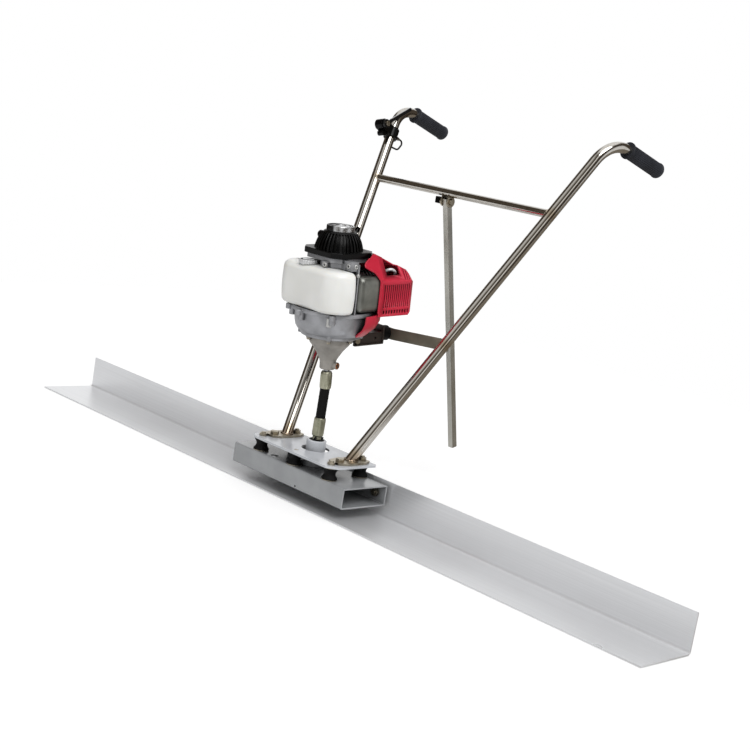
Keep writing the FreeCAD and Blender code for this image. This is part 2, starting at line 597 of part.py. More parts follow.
def shroud_block(inset):
    """The faceted outer form of the engine cover, moved inward by inset."""
    right, left, floor = 101 - inset, -52 + inset, 432 + inset
    front = 42 - (10 if inset else 0)
    back = SHROUD_BACK_Y - inset
    section = [(right, floor), (right, 509 - inset / 2), (66 - inset / 2, 567 - inset), (-38, 567 - inset),
               (left, 553 - inset), (left, floor)]
    points = [V(x, front, z) for x, z in section]
    block = Part.Face(Part.makePolygon(points + points[:1])).extrude(V(0, back - front, 0))
    plan = [(left, front), (left, back - 17), (left + 18, back), (78 - inset / 2, back), (right, back - 28),
            (right, front)]
    block = block.common(slab(plan, floor - 10, 600))
    ridge = 568 - inset
    side = [(front, floor), (front, ridge - 0.42 * (front - 42)), (back, ridge - 0.42 * (back - 42)),
            (back, floor)]
    points = [V(-150, y, z) for y, z in side]
    return block.common(Part.Face(Part.makePolygon(points + points[:1])).extrude(V(300, 0, 0)))


def engine_shroud():
    """The cover over the cylinder: vents in its side, a window on top and a skirt round the fan case."""
    shell = shroud_block(0.0).cut(shroud_block(3.0))
    slots = []
    for i in range(13):
        slots.append(box(97, 105, 56 + i * 6.0, 59 + i * 6.0, 452, 504))
    for i in range(9):
        slots.append(box(97, 105, 57 + i * 8.4, 62 + i * 8.4, 438, 447))
    slots.append(box(-60, -45, SWITCH_Y - 10, SWITCH_Y + 10, SWITCH_Z - 4, SWITCH_Z + 4))
    window = box(70, 96, 62, 112, 515, 575)
    intake_window = box(-60, -40, 55, 85, 462, 508)
    duct = drum(96.0, 425, 440)
    skirt = Part.Face(Part.makePolygon([V(81, 0, 385), V(98, 0, 402), V(106, 0, 418), V(107, 0, 436),
                                        V(104, 0, 436), V(103, 0, 419), V(95.5, 0, 404), V(79.5, 0, 388.7),
                                        V(81, 0, 385)]))
    skirt = skirt.revolve(V(0, 0, 0), UP, 145)
    skirt.rotate(V(0, 0, 0), UP, 2)
    skirt = skirt.cut(box(-14, 14, 50, 110, 360, 413))
    starter_room = slab([(-63, -44), (63, -44), (63, 44), (44, 63), (-44, 63), (-63, 44)], 543, 640)
    shell = shell.cut(Part.makeCompound(slots + [window, intake_window, duct, starter_room]))
    save("engine_shroud", tilted(shell.fuse(skirt).removeSplitter()))


def stop_switch():
    """A sliding stop switch in a slot in the left wall of the engine cover."""
    stem = box(-54, -46, SWITCH_Y - 9.5, SWITCH_Y + 3.0, SWITCH_Z - 3.6, SWITCH_Z + 3.6)
    knob = box(-58.5, -52.4, SWITCH_Y - 9.5, SWITCH_Y + 3.0, SWITCH_Z - 5.5, SWITCH_Z + 5.5)
    save("stop_switch", tilted(stem.fuse(knob).removeSplitter()))


def starter():
    """The recoil starter: cover, badge plate, pulley and pull grip."""
    a, c = 61.0, 18.0
    rim = slab([(a, c - a), (a, a - c), (a - c, a), (c - a, a), (-a, a - c), (-a, c - a), (c - a, -a),
                (a - c, -a)], 555, 567)
    dome = turned([(0, 566), (53, 566), (50, 577), (44, 591), (36, 603), (32, 607), (0, 607)])
    inner = turned([(0, 550), (49, 550), (49, 566), (46, 577), (40, 590), (32, 600), (28, 603), (0, 603)])
    cover = rim.fuse(dome).cut(inner)
    slots = []
    for i in range(24):
        slot = box(38, 60, -1.6, 1.6, 571, 596)
        slot.rotate(V(0, 0, 0), UP, i * 15 + 7.5)
        slots.append(slot)
    cover = cover.cut(Part.makeCompound(slots)).fuse(drum(5.0, 583, 605))
    guide = rod(8.0, V(-36, 0, 589), V(-49, 0, 589)).cut(rod(3.0, V(-20, 0, 589), V(-60, 0, 589)))
    cover = cover.cut(rod(8.0, V(-36, 0, 589), V(-60, 0, 589))).fuse(guide)
    save("starter_cover", tilted(cover.removeSplitter()))
    save("starter_badge", tilted(drum(31.0, 607, 619)))
    pulley = turned([(0, 584), (26, 584), (26, 586), (21, 587), (21, 591), (26, 592), (26, 594), (0, 594)])
    save("starter_pulley", tilted(pulley.cut(drum(5.05, 580, 600))))
    knob = rod(9.0, V(-49.5, 0, 589), V(-66, 0, 589))
    knob = knob.makeFillet(3.0, [knob.Edges[0], knob.Edges[2]])
    save("starter_grip", tilted(knob.removeSplitter()))
    rope = bent_rod([V(-14.57, 17.67, 589), V(-36, 0, 589), V(-49.1, 0, 589)], [12], 1.5)
    save("starter_rope", tilted(rope))


# ---------------------------------------------------------------- engine bracket
def engine_bracket():
    """A hat-section arm under the fan case, with an end plate for the rear buffer."""
    top = box(-15, 15, 60, 146, 370.5, 373.5)
    walls = [box(12, 15, 60, 146, 346, 371), box(-15, -12, 60, 146, 346, 371)]
    lips = [box(14, 20, 60, 146, 346, 349), box(-20, -14, 60, 146, 346, 349)]
    plate = box(-17.5, 17.5, 146, 150, 346, 388)
    arm = top.multiFuse(walls + lips + [plate])
    holes = [rod(3.5, V(-30, 126, 361), V(30, 126, 361)), rod(4.3, V(-30, 68, 358), V(30, 68, 358)),
             rod(4.3, V(0, 140, 367.5), V(0, 160, 367.5))]
    holes += [drum(2.7, 365, 380, 0, y) for y in (72, 90)]
    save("engine_bracket", tilted(arm.cut(Part.makeCompound(holes)).removeSplitter()))
    bolts = [hex_bolt(2.6, 8.0, 4.0, V(0, y, 370.5), V(0, y, 384)) for y in (72, 90)]
    bolts.append(hex_bolt(4.0, 13.0, 5.0, V(15, 68, 358), V(-24, 68, 358)))
    bolts.append(nut(4.0, 13.0, V(-21.5, 68, 358), V(-15, 68, 358)))
    ENGINE_BOLTS.extend([tilted(bolt) for bolt in bolts])
    buffer = rod(17.5, V(0, 120, 380), V(0, LOWER_BAR_FRONT_Y, 380))
    buffer = buffer.cut(tilted(box(-60, 60, 60, 150, 300, 480)))
    save("rear_buffer", buffer)


# ---------------------------------------------------------------- handles
def handle_point(z):
    """The centre of the right-hand handle at height z, on its straight run."""
    foot = V(*HANDLE_FOOT)
    corner = V(*HANDLE_CORNER)
    return foot + (corner - foot) * ((z - foot.z) / (corner.z - foot.z))


def handle_rod(radius, end):
    """The right-hand handle from below its flange to end mm past its bend corner, as a solid bar."""
    corner = V(*HANDLE_CORNER)
    return bent_rod([handle_point(90.0), corner, corner + V(*GRIP_DIRECTION) * end], [HANDLE_BEND], radius)


def handles():
    end = GRIP_START + GRIP_LENGTH - 8
    tube = handle_rod(HANDLE_RADIUS, end).cut(handle_rod(HANDLE_BORE, end))
    tube = tube.cut(box(0, 300, -200, 200, 0, FLANGE_TOP_Z))
    left = mirrored(tube)
    for hole in cable_holes():
        left = left.cut(hole)
    save("right_handle", tube)
    save("left_handle", left)


def handle_flanges():
    """The eight-sided foot plates that the handles are welded to."""
    outline = [(16, -46), (24, -25), (24, 30), (14, 50), (-14, 50), (-24, 30), (-24, -25), (-16, -46)]
    flanges = []
    for side in SIDES:
        x = side * FLANGE_X
        plate = slab([(x + dx, dy) for dx, dy in outline], PLATE_TOP_Z, FLANGE_TOP_Z)
        plate = plate.cut(drum(5.3, 100, 120, x, -28)).cut(drum(5.3, 100, 120, x, BACK_MOUNTS[0][1]))
        flanges.append(plate)
        end = V(x, -28, PLATE_BOTTOM_Z - 11)
        FRAME_FASTENERS.append(hex_bolt(5.0, 17.0, 6.4, V(x, -28, FLANGE_TOP_Z), end))
        FRAME_FASTENERS.append(nut(5.0, 17.0, V(x, -28, PLATE_BOTTOM_Z - 8), V(x, -28, PLATE_BOTTOM_Z)))
    save("handle_flanges", *flanges)


def crossbars():
    """The round upper bar and the flat lower bar, notched where they meet the handles."""
    solid = handle_rod(HANDLE_RADIUS, 50)
    both = [solid, mirrored(solid)]
    high = handle_point(UPPER_BAR_Z)
    upper = rod(UPPER_BAR_RADIUS, V(-high.x, high.y, high.z), high)
    for handle in both:
        upper = upper.cut(handle)
    save("upper_crossbar", upper.Solids[0])
    end = handle_point(LOWER_BAR_Z + LOWER_BAR_RISE).x + 5
    half = LOWER_BAR_HEIGHT / 2
    right = [(LOWER_BAR_FLAT, LOWER_BAR_Z - half), (end, LOWER_BAR_Z + LOWER_BAR_RISE - half),
             (end, LOWER_BAR_Z + LOWER_BAR_RISE + half), (LOWER_BAR_FLAT, LOWER_BAR_Z + half)]
    points = [V(x, LOWER_BAR_FRONT_Y, z) for x, z in right + [(-x, z) for x, z in reversed(right)]]
    lower = Part.Face(Part.makePolygon(points + points[:1])).extrude(BACKWARDS * LOWER_BAR_GAUGE)
    for handle in both:
        lower = lower.cut(handle)
    save("lower_crossbar", max(lower.Solids, key=lambda s: s.Volume))


def handle_grips():
    """Moulded grips with a collar and a rounded, closed end."""
    length = GRIP_LENGTH
    body = turned([(0, 0), (20, 0), (20, 4), (GRIP_RADIUS, 6), (GRIP_RADIUS, length - 8),
                   (18.5, length - 6), (18.5, length - 3), (15, length), (0, length)])
    body = body.cut(drum(HANDLE_RADIUS + 0.05, -1, length - 7))
    start = V(*HANDLE_CORNER) + V(*GRIP_DIRECTION) * GRIP_START
    body.Placement = FreeCAD.Placement(start, FreeCAD.Rotation(UP, V(*GRIP_DIRECTION)))
    save("handle_grips", body, mirrored(body))


# ---------------------------------------------------------------- throttle
def throttle_frame():
    """The left handle's local axes: along the tube, outward from its bend, and across."""
    foot, corner = V(*HANDLE_FOOT), V(*HANDLE_CORNER)
    along = (corner - foot).normalize()
    grip = V(*GRIP_DIRECTION)
    outward = (along * along.dot(grip) - grip).normalize()
    centre = handle_point(CLAMP_Z)
    origin = V(-centre.x, centre.y, centre.z)
    along = V(-along.x, along.y, along.z)
    outward = V(-outward.x, outward.y, outward.z)
    return origin, along, outward, along.cross(outward)


def throttle_point(t, n, b=0.0):
    origin, along, outward, across = throttle_frame()
    return origin + along * t + outward * n + across * b


def left_handle_point(z):
    centre = handle_point(z)
    return V(-centre.x, centre.y, centre.z)


def cable_route():
    """The cable's points: a small loop below the clamp, down inside the handle, then to the engine."""
    stop = V(*CABLE_STOP)
    before = V(stop.x - 28.0, stop.y + 28.2, stop.z)
    after = V(stop.x + 5.0, stop.y - 5.0, stop.z)
    return [throttle_point(0.6, -19.4), throttle_point(10, -52), throttle_point(-22, -40),
            throttle_point(-34, 0),
            left_handle_point(CABLE_EXIT_Z), V(-176, 172, 548), tilted_point(before.x, before.y, before.z),
            tilted_point(after.x, after.y, after.z)]


def cable_holes():
    """Where the cable enters the left handle below the clamp, and where it leaves towards the engine."""
    route = cable_route()
    return [rod(4.5, (route[2] + route[3]) * 0.5, route[3]), rod(6.0, route[4], (route[4] + route[5]) * 0.5)]


def flat_bar(points, width, thick, across):
    """A bar with round ends between two points, lying across the given axis."""
    start, end = points
    direction = (end - start).normalize()
    side = across.cross(direction)
    base = across * (-thick / 2)
    corners = [start + side * (width / 2), end + side * (width / 2), end - side * (width / 2),
               start - side * (width / 2)]
    corners = [corner + base for corner in corners]
    bar = Part.Face(Part.makePolygon(corners + corners[:1])).extrude(across * thick)
    ends = [Part.makeCylinder(width / 2, thick, point + base, across) for point in points]
    return bar.multiFuse(ends)


def throttle():
    """The clamp, the lever on its pivot screw and the cable."""
    across = throttle_frame()[3]
    pivot = throttle_point(*LEVER_PIVOT)
    sleeve = rod(17.0, throttle_point(-13, 0), throttle_point(13, 0))
    arm = flat_bar((throttle_point(0, 10, 1), throttle_point(*LEVER_PIVOT, 1)), 26, 22, across)
    knuckle = flat_bar((throttle_point(-4, 20), throttle_point(-20, 34)), 14, 16, across)
    outlet = rod(5.0, throttle_point(0, -14), throttle_point(1.2, -22))
    clamp = sleeve.multiFuse([arm, knuckle, outlet])
    clamp = clamp.cut(rod(HANDLE_RADIUS + 0.05, throttle_point(-40, 0), throttle_point(40, 0)))
    clamp = clamp.cut(Part.makeCylinder(4.05, 60, pivot - across * 30, across))
    clamp = clamp.cut(rod(2.8, throttle_point(0, -19), throttle_point(2, -26)))
    save("throttle_clamp", clamp.removeSplitter())
    shift = across * LEVER_OFFSET
    hub = Part.makeCylinder(11.0, 6.0, pivot + shift - across * 3, across)
    blade = flat_bar((pivot + shift, throttle_point(*LEVER_TIP) + shift), 8, 4, across)
    blade = blade.fuse(hub).cut(Part.makeCylinder(4.05, 60, pivot - across * 30, across))
    save("throttle_lever", blade.removeSplitter())
    head = Part.makeCylinder(6.5, 4.0, pivot + shift + across * 3.4, across)
    shank = Part.makeCylinder(4.0, LEVER_OFFSET + 14.4, pivot - across * 11, across)
    save("throttle_screw", head.fuse(shank).removeSplitter())
    save("throttle_cable", bent_rod(cable_route(), CABLE_BENDS, CABLE_RADIUS))


# ---------------------------------------------------------------- kickstand
def kickstand():
    """A square leg on a clevis under the upper bar."""
    bar = handle_point(UPPER_BAR_Z)
    pivot = V(KICKSTAND_X, bar.y, KICKSTAND_PIVOT_Z)
    half = KICKSTAND_TUBE / 2
    lugs = []
    for side in SIDES:
        inner = KICKSTAND_X + side * (half + 0.5)
        outer = inner + side * 4
        x0, x1 = min(inner, outer), max(inner, outer)
        lug = box(x0, x1, pivot.y - 9, pivot.y + 9, pivot.z, bar.z)
        lug = lug.fuse(rod(13.0, V(x0, pivot.y, pivot.z), V(x1, pivot.y, pivot.z)))
        lug = lug.cut(rod(UPPER_BAR_RADIUS, V(-100, bar.y, bar.z), V(100, bar.y, bar.z)))
        lug = lug.cut(box(x0 - 1, x1 + 1, bar.y - 20, bar.y + 20, bar.z, bar.z + 20))
        lug = lug.cut(rod(4.05, V(x0 - 5, pivot.y, pivot.z), V(x1 + 5, pivot.y, pivot.z)))
        lugs.append(max(lug.removeSplitter().Solids, key=lambda s: s.Volume))
    save("kickstand_bracket", *lugs)
    leg = box(KICKSTAND_X - half, KICKSTAND_X + half, pivot.y - half, pivot.y + half,
              pivot.z - KICKSTAND_LENGTH, pivot.z + 6.5)
    bore = half - KICKSTAND_WALL
    leg = leg.cut(box(KICKSTAND_X - bore, KICKSTAND_X + bore, pivot.y - bore, pivot.y + bore,
                      pivot.z - KICKSTAND_LENGTH - 5, pivot.z + 10))
    leg = leg.cut(rod(4.05, V(-100, pivot.y, pivot.z), V(100, pivot.y, pivot.z)))
    leg.rotate(pivot, ACROSS, KICKSTAND_LEAN)
    save("kickstand_leg", leg)
    right = V(KICKSTAND_X + half + 4.5, pivot.y, pivot.z)
    left = V(KICKSTAND_X - half - 4.5, pivot.y, pivot.z)
    save("kickstand_bolt", hex_bolt(4.0, 13.0, 5.3, right, left - ACROSS * 8))
    cap = box(left.x - 20, left.x, pivot.y - 9, pivot.y + 9, pivot.z - 8, pivot.z + 8)
    cap = cap.makeFillet(2.0, cap.Edges).cut(rod(4.05, left + ACROSS, left - ACROSS * 8.3))
    save("kickstand_cap", cap)


# ---------------------------------------------------------------- build
screed_board()
exciter_box()
box_fixings()
rubber_mounts()
upper_plate()
bearing_housing()
eccentric_drive()
drive_hose()
drive_cone()
centrifugal_clutch()
flywheel()
fan_cover()
crankcase()
crankshaft()
cylinder()
fuel_tank()
exhaust()
intake()
engine_shroud()
stop_switch()
starter()
engine_bracket()
handles()
handle_flanges()
crossbars()
handle_grips()
throttle()
kickstand()
save("frame_fasteners", *FRAME_FASTENERS)
save("engine_bolts", *ENGINE_BOLTS)
save("ball_bearings", *BALL_BEARINGS)
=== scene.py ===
"""Looks for the power screed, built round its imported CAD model. Pieces are drawn in millimetres."""

import json
import math

import bmesh
import bpy
from mathutils import Matrix, Vector


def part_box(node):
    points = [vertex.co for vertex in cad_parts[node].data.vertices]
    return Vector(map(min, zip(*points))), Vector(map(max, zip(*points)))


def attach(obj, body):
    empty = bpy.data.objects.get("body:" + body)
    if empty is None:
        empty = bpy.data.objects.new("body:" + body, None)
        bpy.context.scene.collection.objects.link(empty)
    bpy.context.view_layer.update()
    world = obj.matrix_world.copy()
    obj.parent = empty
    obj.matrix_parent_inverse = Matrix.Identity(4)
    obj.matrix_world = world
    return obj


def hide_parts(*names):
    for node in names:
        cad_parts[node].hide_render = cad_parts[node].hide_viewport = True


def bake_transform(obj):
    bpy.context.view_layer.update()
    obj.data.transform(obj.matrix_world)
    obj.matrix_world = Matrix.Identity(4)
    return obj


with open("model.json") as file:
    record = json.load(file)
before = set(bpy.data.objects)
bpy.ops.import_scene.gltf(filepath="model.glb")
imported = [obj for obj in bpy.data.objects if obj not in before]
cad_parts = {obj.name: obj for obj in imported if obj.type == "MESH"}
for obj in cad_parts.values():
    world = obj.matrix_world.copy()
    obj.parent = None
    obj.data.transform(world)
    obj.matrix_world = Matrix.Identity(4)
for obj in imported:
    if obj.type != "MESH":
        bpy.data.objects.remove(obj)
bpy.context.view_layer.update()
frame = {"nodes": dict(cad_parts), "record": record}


def turned(degrees, axis):
    """A rotation about one of the axes."""
    return Matrix.Rotation(math.radians(degrees), 4, axis)


MM = 0.001
UPRIGHT = Matrix.Identity(4)
ENGINE_LEAN = 4.7       # of the engine against the board, degrees
TILT_CENTRE = Vector((0, 0, 0.2545))
LEANING = Matrix.Translation(TILT_CENTRE) @ turned(ENGINE_LEAN, "X") @ Matrix.Translation(-TILT_CENTRE)

HANDLE_FOOT = Vector((111.6, 9.6, 119.4))
HANDLE_CORNER = Vector((336.0, 423.0, 894.0))
HANDLE_AXIS = (HANDLE_CORNER - HANDLE_FOOT).normalized()
HANDLE_RADIUS = 12.5
GRIP_AXIS = Vector((0.053, 0.958, -0.281)).normalized()
GRIP_START = 61.0
FLANGE_TOP_Z = 115.0
UPPER_BAR_Z = 712.0
UPPER_BAR_RADIUS = 9.5
LOWER_BAR_Z = 394.0
CLAMP_Z = 822.0
RUBBER_MOUNTS = ((-118, -57), (0, -57), (118, -57), (-113, 39.5), (113, 39.5))
LEVER_PIVOT, LEVER_TIP = Vector((-2.0, 45.0)), Vector((84.0, -18.5))
LEVER_OFFSET = 16.5     # of the lever's middle from the clamp's, across the tube
FILLER = Vector((-23, -64, 0))
TANK_PLAN = (-104, 96, -88, -22)            # left, right, front and back
MUFFLER_PLAN = (58.2, 95.8, -13.8, 63.8)
STARTER_RIM_Z = 567.9   # the eight-sided rim is below it
STARTER_RIM, STARTER_CORNER = 61, 73.5      # from the axis to the rim's sides and to its cut corners
FINS_LOW, FINS_HIGH = 568.5, 603.5
ROPE_Z = 589.0
COVER_LEFT, COVER_RIGHT = -52, 101
COVER_FRONT, COVER_BACK = 42, 166
COVER_BOTTOM, COVER_TOP = 432, 567
SHOULDER_Z = 511        # where the right side of the cover starts to slope inward
SLOPE = Vector((58, 0, 35))

CAMERA_PLACE = Vector((2.3191, -2.1902, 0.8751))
CAMERA_HEADING, CAMERA_TILT, CAMERA_ROLL = 44.74, 79.75, 9.43
CAMERA_LENS = 69.6
SUN_DIRECTION = Vector((-0.62, 0.22, -0.75))
SUN_ENERGY, SUN_SPREAD = 1.6, 40
FLOOR_REACH = 2.6
FLOOR_DROP = 0.001      # keeps the floor just below the sole


def handle_point(z):
    """The centre of the right-hand handle at height z."""
    return HANDLE_FOOT + HANDLE_AXIS * ((z - HANDLE_FOOT.z) / HANDLE_AXIS.z)


# ---------------------------------------------------------------- shader nodes
def tone(red, green, blue):
    """A linear colour from screen values of 0 to 255."""
    return tuple((value / 255) ** 2.2 for value in (red, green, blue))


def add(tree, kind, settings=None, links=None):
    """A shader node with its settings and its incoming links."""
    made = tree.nodes.new("ShaderNode" + kind)
    for key, value in (settings or {}).items():
        if isinstance(key, str) and hasattr(made, key):
            setattr(made, key, value)
        else:
            made.inputs[key].default_value = value
    for key, socket in (links or {}).items():
        tree.links.new(socket, made.inputs[key])
    return made


def coordinates(tree):
    """The object's own coordinates, in metres."""
    return add(tree, "TexCoord").outputs["Object"]


def noise(tree, scale, stretch=(1, 1, 1), detail=4.0, where=None):
    """A noise between 0 and 1, finer along the axes that are stretched."""
    mapped = add(tree, "Mapping", {"Scale": stretch}, {"Vector": where or coordinates(tree)})
    made = add(tree, "TexNoise", {"Scale": scale, "Detail": detail}, {"Vector": mapped.outputs["Vector"]})
    return made.outputs["Fac"]


def ramp(tree, factor, stops):
    """A colour ramp from (position, colour or grey value) stops."""
    made = add(tree, "ValToRGB", None, {"Fac": factor})
    elements = made.color_ramp.elements
    for i, (position, colour) in enumerate(stops):
        element = elements[i] if i < 2 else elements.new(position)
        element.position = position
        element.color = (*colour, 1) if isinstance(colour, tuple) else (colour, colour, colour, 1)
    return made.outputs["Color"]


def mixed(tree, factor, first, second, blend="MIX"):
    """Two colours blended by a factor; each is a socket or a plain (red, green, blue)."""
    settings, links = {"blend_type": blend}, {"Fac": factor}
    for socket, colour in (("Color1", first), ("Color2", second)):
        if isinstance(colour, tuple):
            settings[socket] = (*colour, 1)
        else:
            links[socket] = colour
    return add(tree, "MixRGB", settings, links).outputs["Color"]


def rounded(tree, radius):
    """A normal that rounds edges over radius, in millimetres."""
    return add(tree, "Bevel", {"samples": 4, "Radius": radius * MM}).outputs["Normal"]


def edges(tree, radius):
    """A mask that is 1 on edges and 0 on open surfaces."""
    flat = add(tree, "NewGeometry").outputs["True Normal"]
    dot = add(tree, "VectorMath", {"operation": "DOT_PRODUCT"}, {0: rounded(tree, radius), 1: flat})
    return ramp(tree, dot.outputs["Value"], ((0.88, 1.0), (0.985, 0.0)))


def bump(tree, height, strength, distance, normal=None):
    """A normal raised by height over distance, in millimetres."""
    links = {"Height": height}
    if normal:
        links["Normal"] = normal
    return add(tree, "Bump", {"Strength": strength, "Distance": distance * MM}, links).outputs["Normal"]


def material(name, metallic=0.0, **sockets):
    """A new material, its nodes and its shader, with plain values on the shader's own sockets."""
    made = bpy.data.materials.new(name)
    made.use_nodes = True
    shader = made.node_tree.nodes["Principled BSDF"]
    shader.inputs["Metallic"].default_value = metallic
    for socket, value in sockets.items():
        shader.inputs[socket.replace("_", " ")].default_value = value
    return made, made.node_tree, shader


def connect(tree, shader, **sockets):
    """Link outputs to the shader's sockets."""
    for socket, output in sockets.items():
        tree.links.new(output, shader.inputs[socket.replace("_", " ")])


# ---------------------------------------------------------------- finishes
RUBBED_WIDTH = 1.4      # of the worn paint along an edge, mm
RECESS_REACH = 0.05     # how near another surface has to be for painted shade in a recess, m
RECESS_SHADE = 0.16     # of the dark colour, painted as shade at the bottom of a recess


def finish(name, dark, light, rough, metallic=0.0, patch=14.0, stretch=(1, 1, 1), grain=700.0,
           relief=0.15, edge=0.7, worn=None, **sockets):
    """A mottled finish with painted shade darkening its recesses; a worn colour shows where its edges are
    rubbed.
    """
    made, tree, shader = material(name, metallic, **sockets)
    patches = noise(tree, patch, stretch)
    fine = noise(tree, grain, stretch, 3.0)
    colour = ramp(tree, patches, ((0.34, dark), (0.66, light)))
    if worn:
        scratches = ramp(tree, fine, ((0.3, 0.0), (0.62, 1.0)))
        rubbed = add(tree, "Math", {"operation": "MULTIPLY"}, {0: edges(tree, RUBBED_WIDTH), 1: scratches})
        colour = mixed(tree, rubbed.outputs[0], colour, ramp(tree, fine, ((0.3, worn), (0.7, light))))
    # painted shade: the colour goes to a darker copy of itself where other surfaces are near, as in recesses
    # and between parts
    open_air = add(tree, "AmbientOcclusion", {"samples": 6, "Distance": RECESS_REACH}).outputs["AO"]
    shadow = tuple(value * RECESS_SHADE for value in dark)
    colour = mixed(tree, ramp(tree, open_air, ((0.15, 1.0), (0.62, 0.0))), colour, shadow)
    roughness = ramp(tree, patches, ((0.3, rough[0]), (0.7, rough[1])))
    connect(tree, shader, Base_Color=colour, Roughness=roughness,
            Normal=bump(tree, fine, relief, 0.25, rounded(tree, edge)))
    return made


def drawn_aluminium(name):
    """Bright extruded metal, dulled by its oxide, with fine lines along its length and handling marks."""
    made, tree, shader = material(name, 0.55)
    lines = noise(tree, 1.0, (2.0, 520.0, 520.0), 4.0)
    smears = noise(tree, 2.6, (1, 1, 1), 4.0)
    dull = ramp(tree, lines, ((0.25, tone(226, 227, 229)), (0.75, tone(238, 239, 241))))
    bright = ramp(tree, lines, ((0.25, tone(236, 237, 239)), (0.75, tone(246, 247, 249))))
    colour = mixed(tree, smears, dull, bright)
    rough = ramp(tree, smears, ((0.3, 0.26), (0.7, 0.38)))
    relief = bump(tree, lines, 0.05, 0.05, rounded(tree, 0.6))
    connect(tree, shader, Base_Color=colour, Roughness=rough, Normal=relief)
    return made


def folded(tree):
    """The object's coordinates with the left half laid over the right half."""
    parts = add(tree, "SeparateXYZ", None, {0: coordinates(tree)})
    width = add(tree, "Math", {"operation": "ABSOLUTE"}, {0: parts.outputs["X"]})
    links = {0: width.outputs[0], 1: parts.outputs["Y"], 2: parts.outputs["Z"]}
    return add(tree, "CombineXYZ", None, links).outputs[0]


def distance_to(tree, where, point):
    """How far a place is from a point given in millimetres."""
    made = add(tree, "VectorMath", {"operation": "DISTANCE", 1: point * MM}, {0: where})
    return made.outputs["Value"]


def heated_places():
    """The welds of the right-hand handle, with how far their heat tint reaches in metres."""
    return ((handle_point(FLANGE_TOP_Z), 0.055), (handle_point(LOWER_BAR_Z), 0.035),
            (handle_point(UPPER_BAR_Z), 0.035))


def stainless(name):
    """Polished tube with drawing lines, and straw and brown heat tint round its welds."""
    made, tree, shader = material(name, 1.0)
    where = folded(tree)
    along = add(tree, "VectorMath", {"operation": "DOT_PRODUCT", 1: HANDLE_AXIS}, {0: where})
    pressed = add(tree, "Math", {"operation": "MULTIPLY", 1: -0.999}, {0: along.outputs["Value"]})
    axis = add(tree, "VectorMath", {"operation": "SCALE", 0: HANDLE_AXIS}, {"Scale": pressed.outputs[0]})
    drawn = add(tree, "VectorMath", {"operation": "ADD"}, {0: where, 1: axis.outputs[0]}).outputs[0]
    lines = noise(tree, 330.0, (1, 1, 1), 4.0, drawn)
    broad = noise(tree, 60.0, (1, 1, 1), 3.0, drawn)
    clouds = noise(tree, 16.0, (1, 1, 1), 3.0, where)
    steel = mixed(tree, broad, ramp(tree, lines, ((0.3, tone(176, 168, 156)), (0.7, tone(206, 202, 194)))),
                  ramp(tree, lines, ((0.3, tone(204, 200, 193)), (0.7, tone(228, 226, 222)))))
    for point, reach in heated_places():
        away = distance_to(tree, where, point)
        wavy = add(tree, "Math", {"operation": "MULTIPLY_ADD", 1: 0.02}, {0: clouds, 2: away}).outputs[0]
        tint = ramp(tree, wavy, ((0.0, tone(120, 96, 70)), (reach * 0.35, tone(140, 104, 66)),
                                 (reach * 0.6, tone(196, 164, 104)), (reach, (1.0, 1.0, 1.0))))
        steel = mixed(tree, ramp(tree, away, ((0.0, 0.9), (reach, 0.0))), steel, tint, "MULTIPLY")
    rough = ramp(tree, broad, ((0.3, 0.07), (0.7, 0.14)))
    connect(tree, shader, Base_Color=steel, Roughness=rough, Normal=bump(tree, lines, 0.05, 0.05))
    return made


def tank_white(name):
    """Translucent white moulded plastic."""
    made, tree, shader = material(name, 0.0, Subsurface_Weight=0.25, Subsurface_Scale=0.008,
                                  Subsurface_Radius=(1.0, 0.9, 0.75), Coat_Weight=0.08)
    clouds = noise(tree, 11.0, (1, 1, 1), 2.0)
    fine = noise(tree, 420.0, (1, 1, 1), 2.0)
    colour = ramp(tree, clouds, ((0.3, tone(226, 226, 221)), (0.7, tone(238, 238, 235))))
    connect(tree, shader, Base_Color=colour, Roughness=ramp(tree, fine, ((0.3, 0.34), (0.7, 0.42))),
            Normal=bump(tree, fine, 0.05, 0.1))
    return made


def badge_halves(name):
    """A round cap that is bright on one side of a line through its middle and black on the other."""
    made, tree, shader = material(name)
    side = add(tree, "VectorMath", {"operation": "DOT_PRODUCT", 1: (0.86, 0.50, 0)}, {0: coordinates(tree)})
    shifted = add(tree, "Math", {"operation": "ADD", 1: 0.5}, {0: side.outputs["Value"]}).outputs[0]
    bright = ramp(tree, shifted, ((0.4945, 0.0), (0.4955, 1.0)))
    fine = noise(tree, 300.0, (1, 1, 1), 3.0)
    silver = ramp(tree, fine, ((0.3, tone(176, 177, 178)), (0.7, tone(214, 215, 216))))
    black = ramp(tree, fine, ((0.3, tone(14, 14, 15)), (0.7, tone(30, 30, 32))))
    connect(tree, shader, Base_Color=mixed(tree, bright, black, silver), Metallic=bright,
            Roughness=ramp(tree, fine, ((0.3, 0.24), (0.7, 0.38))), Normal=bump(tree, fine, 0.08, 0.1))
    return made


def braided(name):
    """A cord with crossing strands."""
    made, tree, shader = material(name, 0.0, Sheen_Weight=0.3)
    strands = add(tree, "TexWave", {"bands_direction": "DIAGONAL", "Scale": 260.0, "Distortion": 1.0},
                  {"Vector": coordinates(tree)}).outputs["Fac"]
    fine = noise(tree, 900.0)
    colour = ramp(tree, strands, ((0.2, tone(120, 120, 116)), (0.8, tone(205, 204, 198))))
    connect(tree, shader, Base_Color=colour, Roughness=ramp(tree, fine, ((0.3, 0.7), (0.7, 0.9))),
            Normal=bump(tree, strands, 0.5, 0.3))
    return made


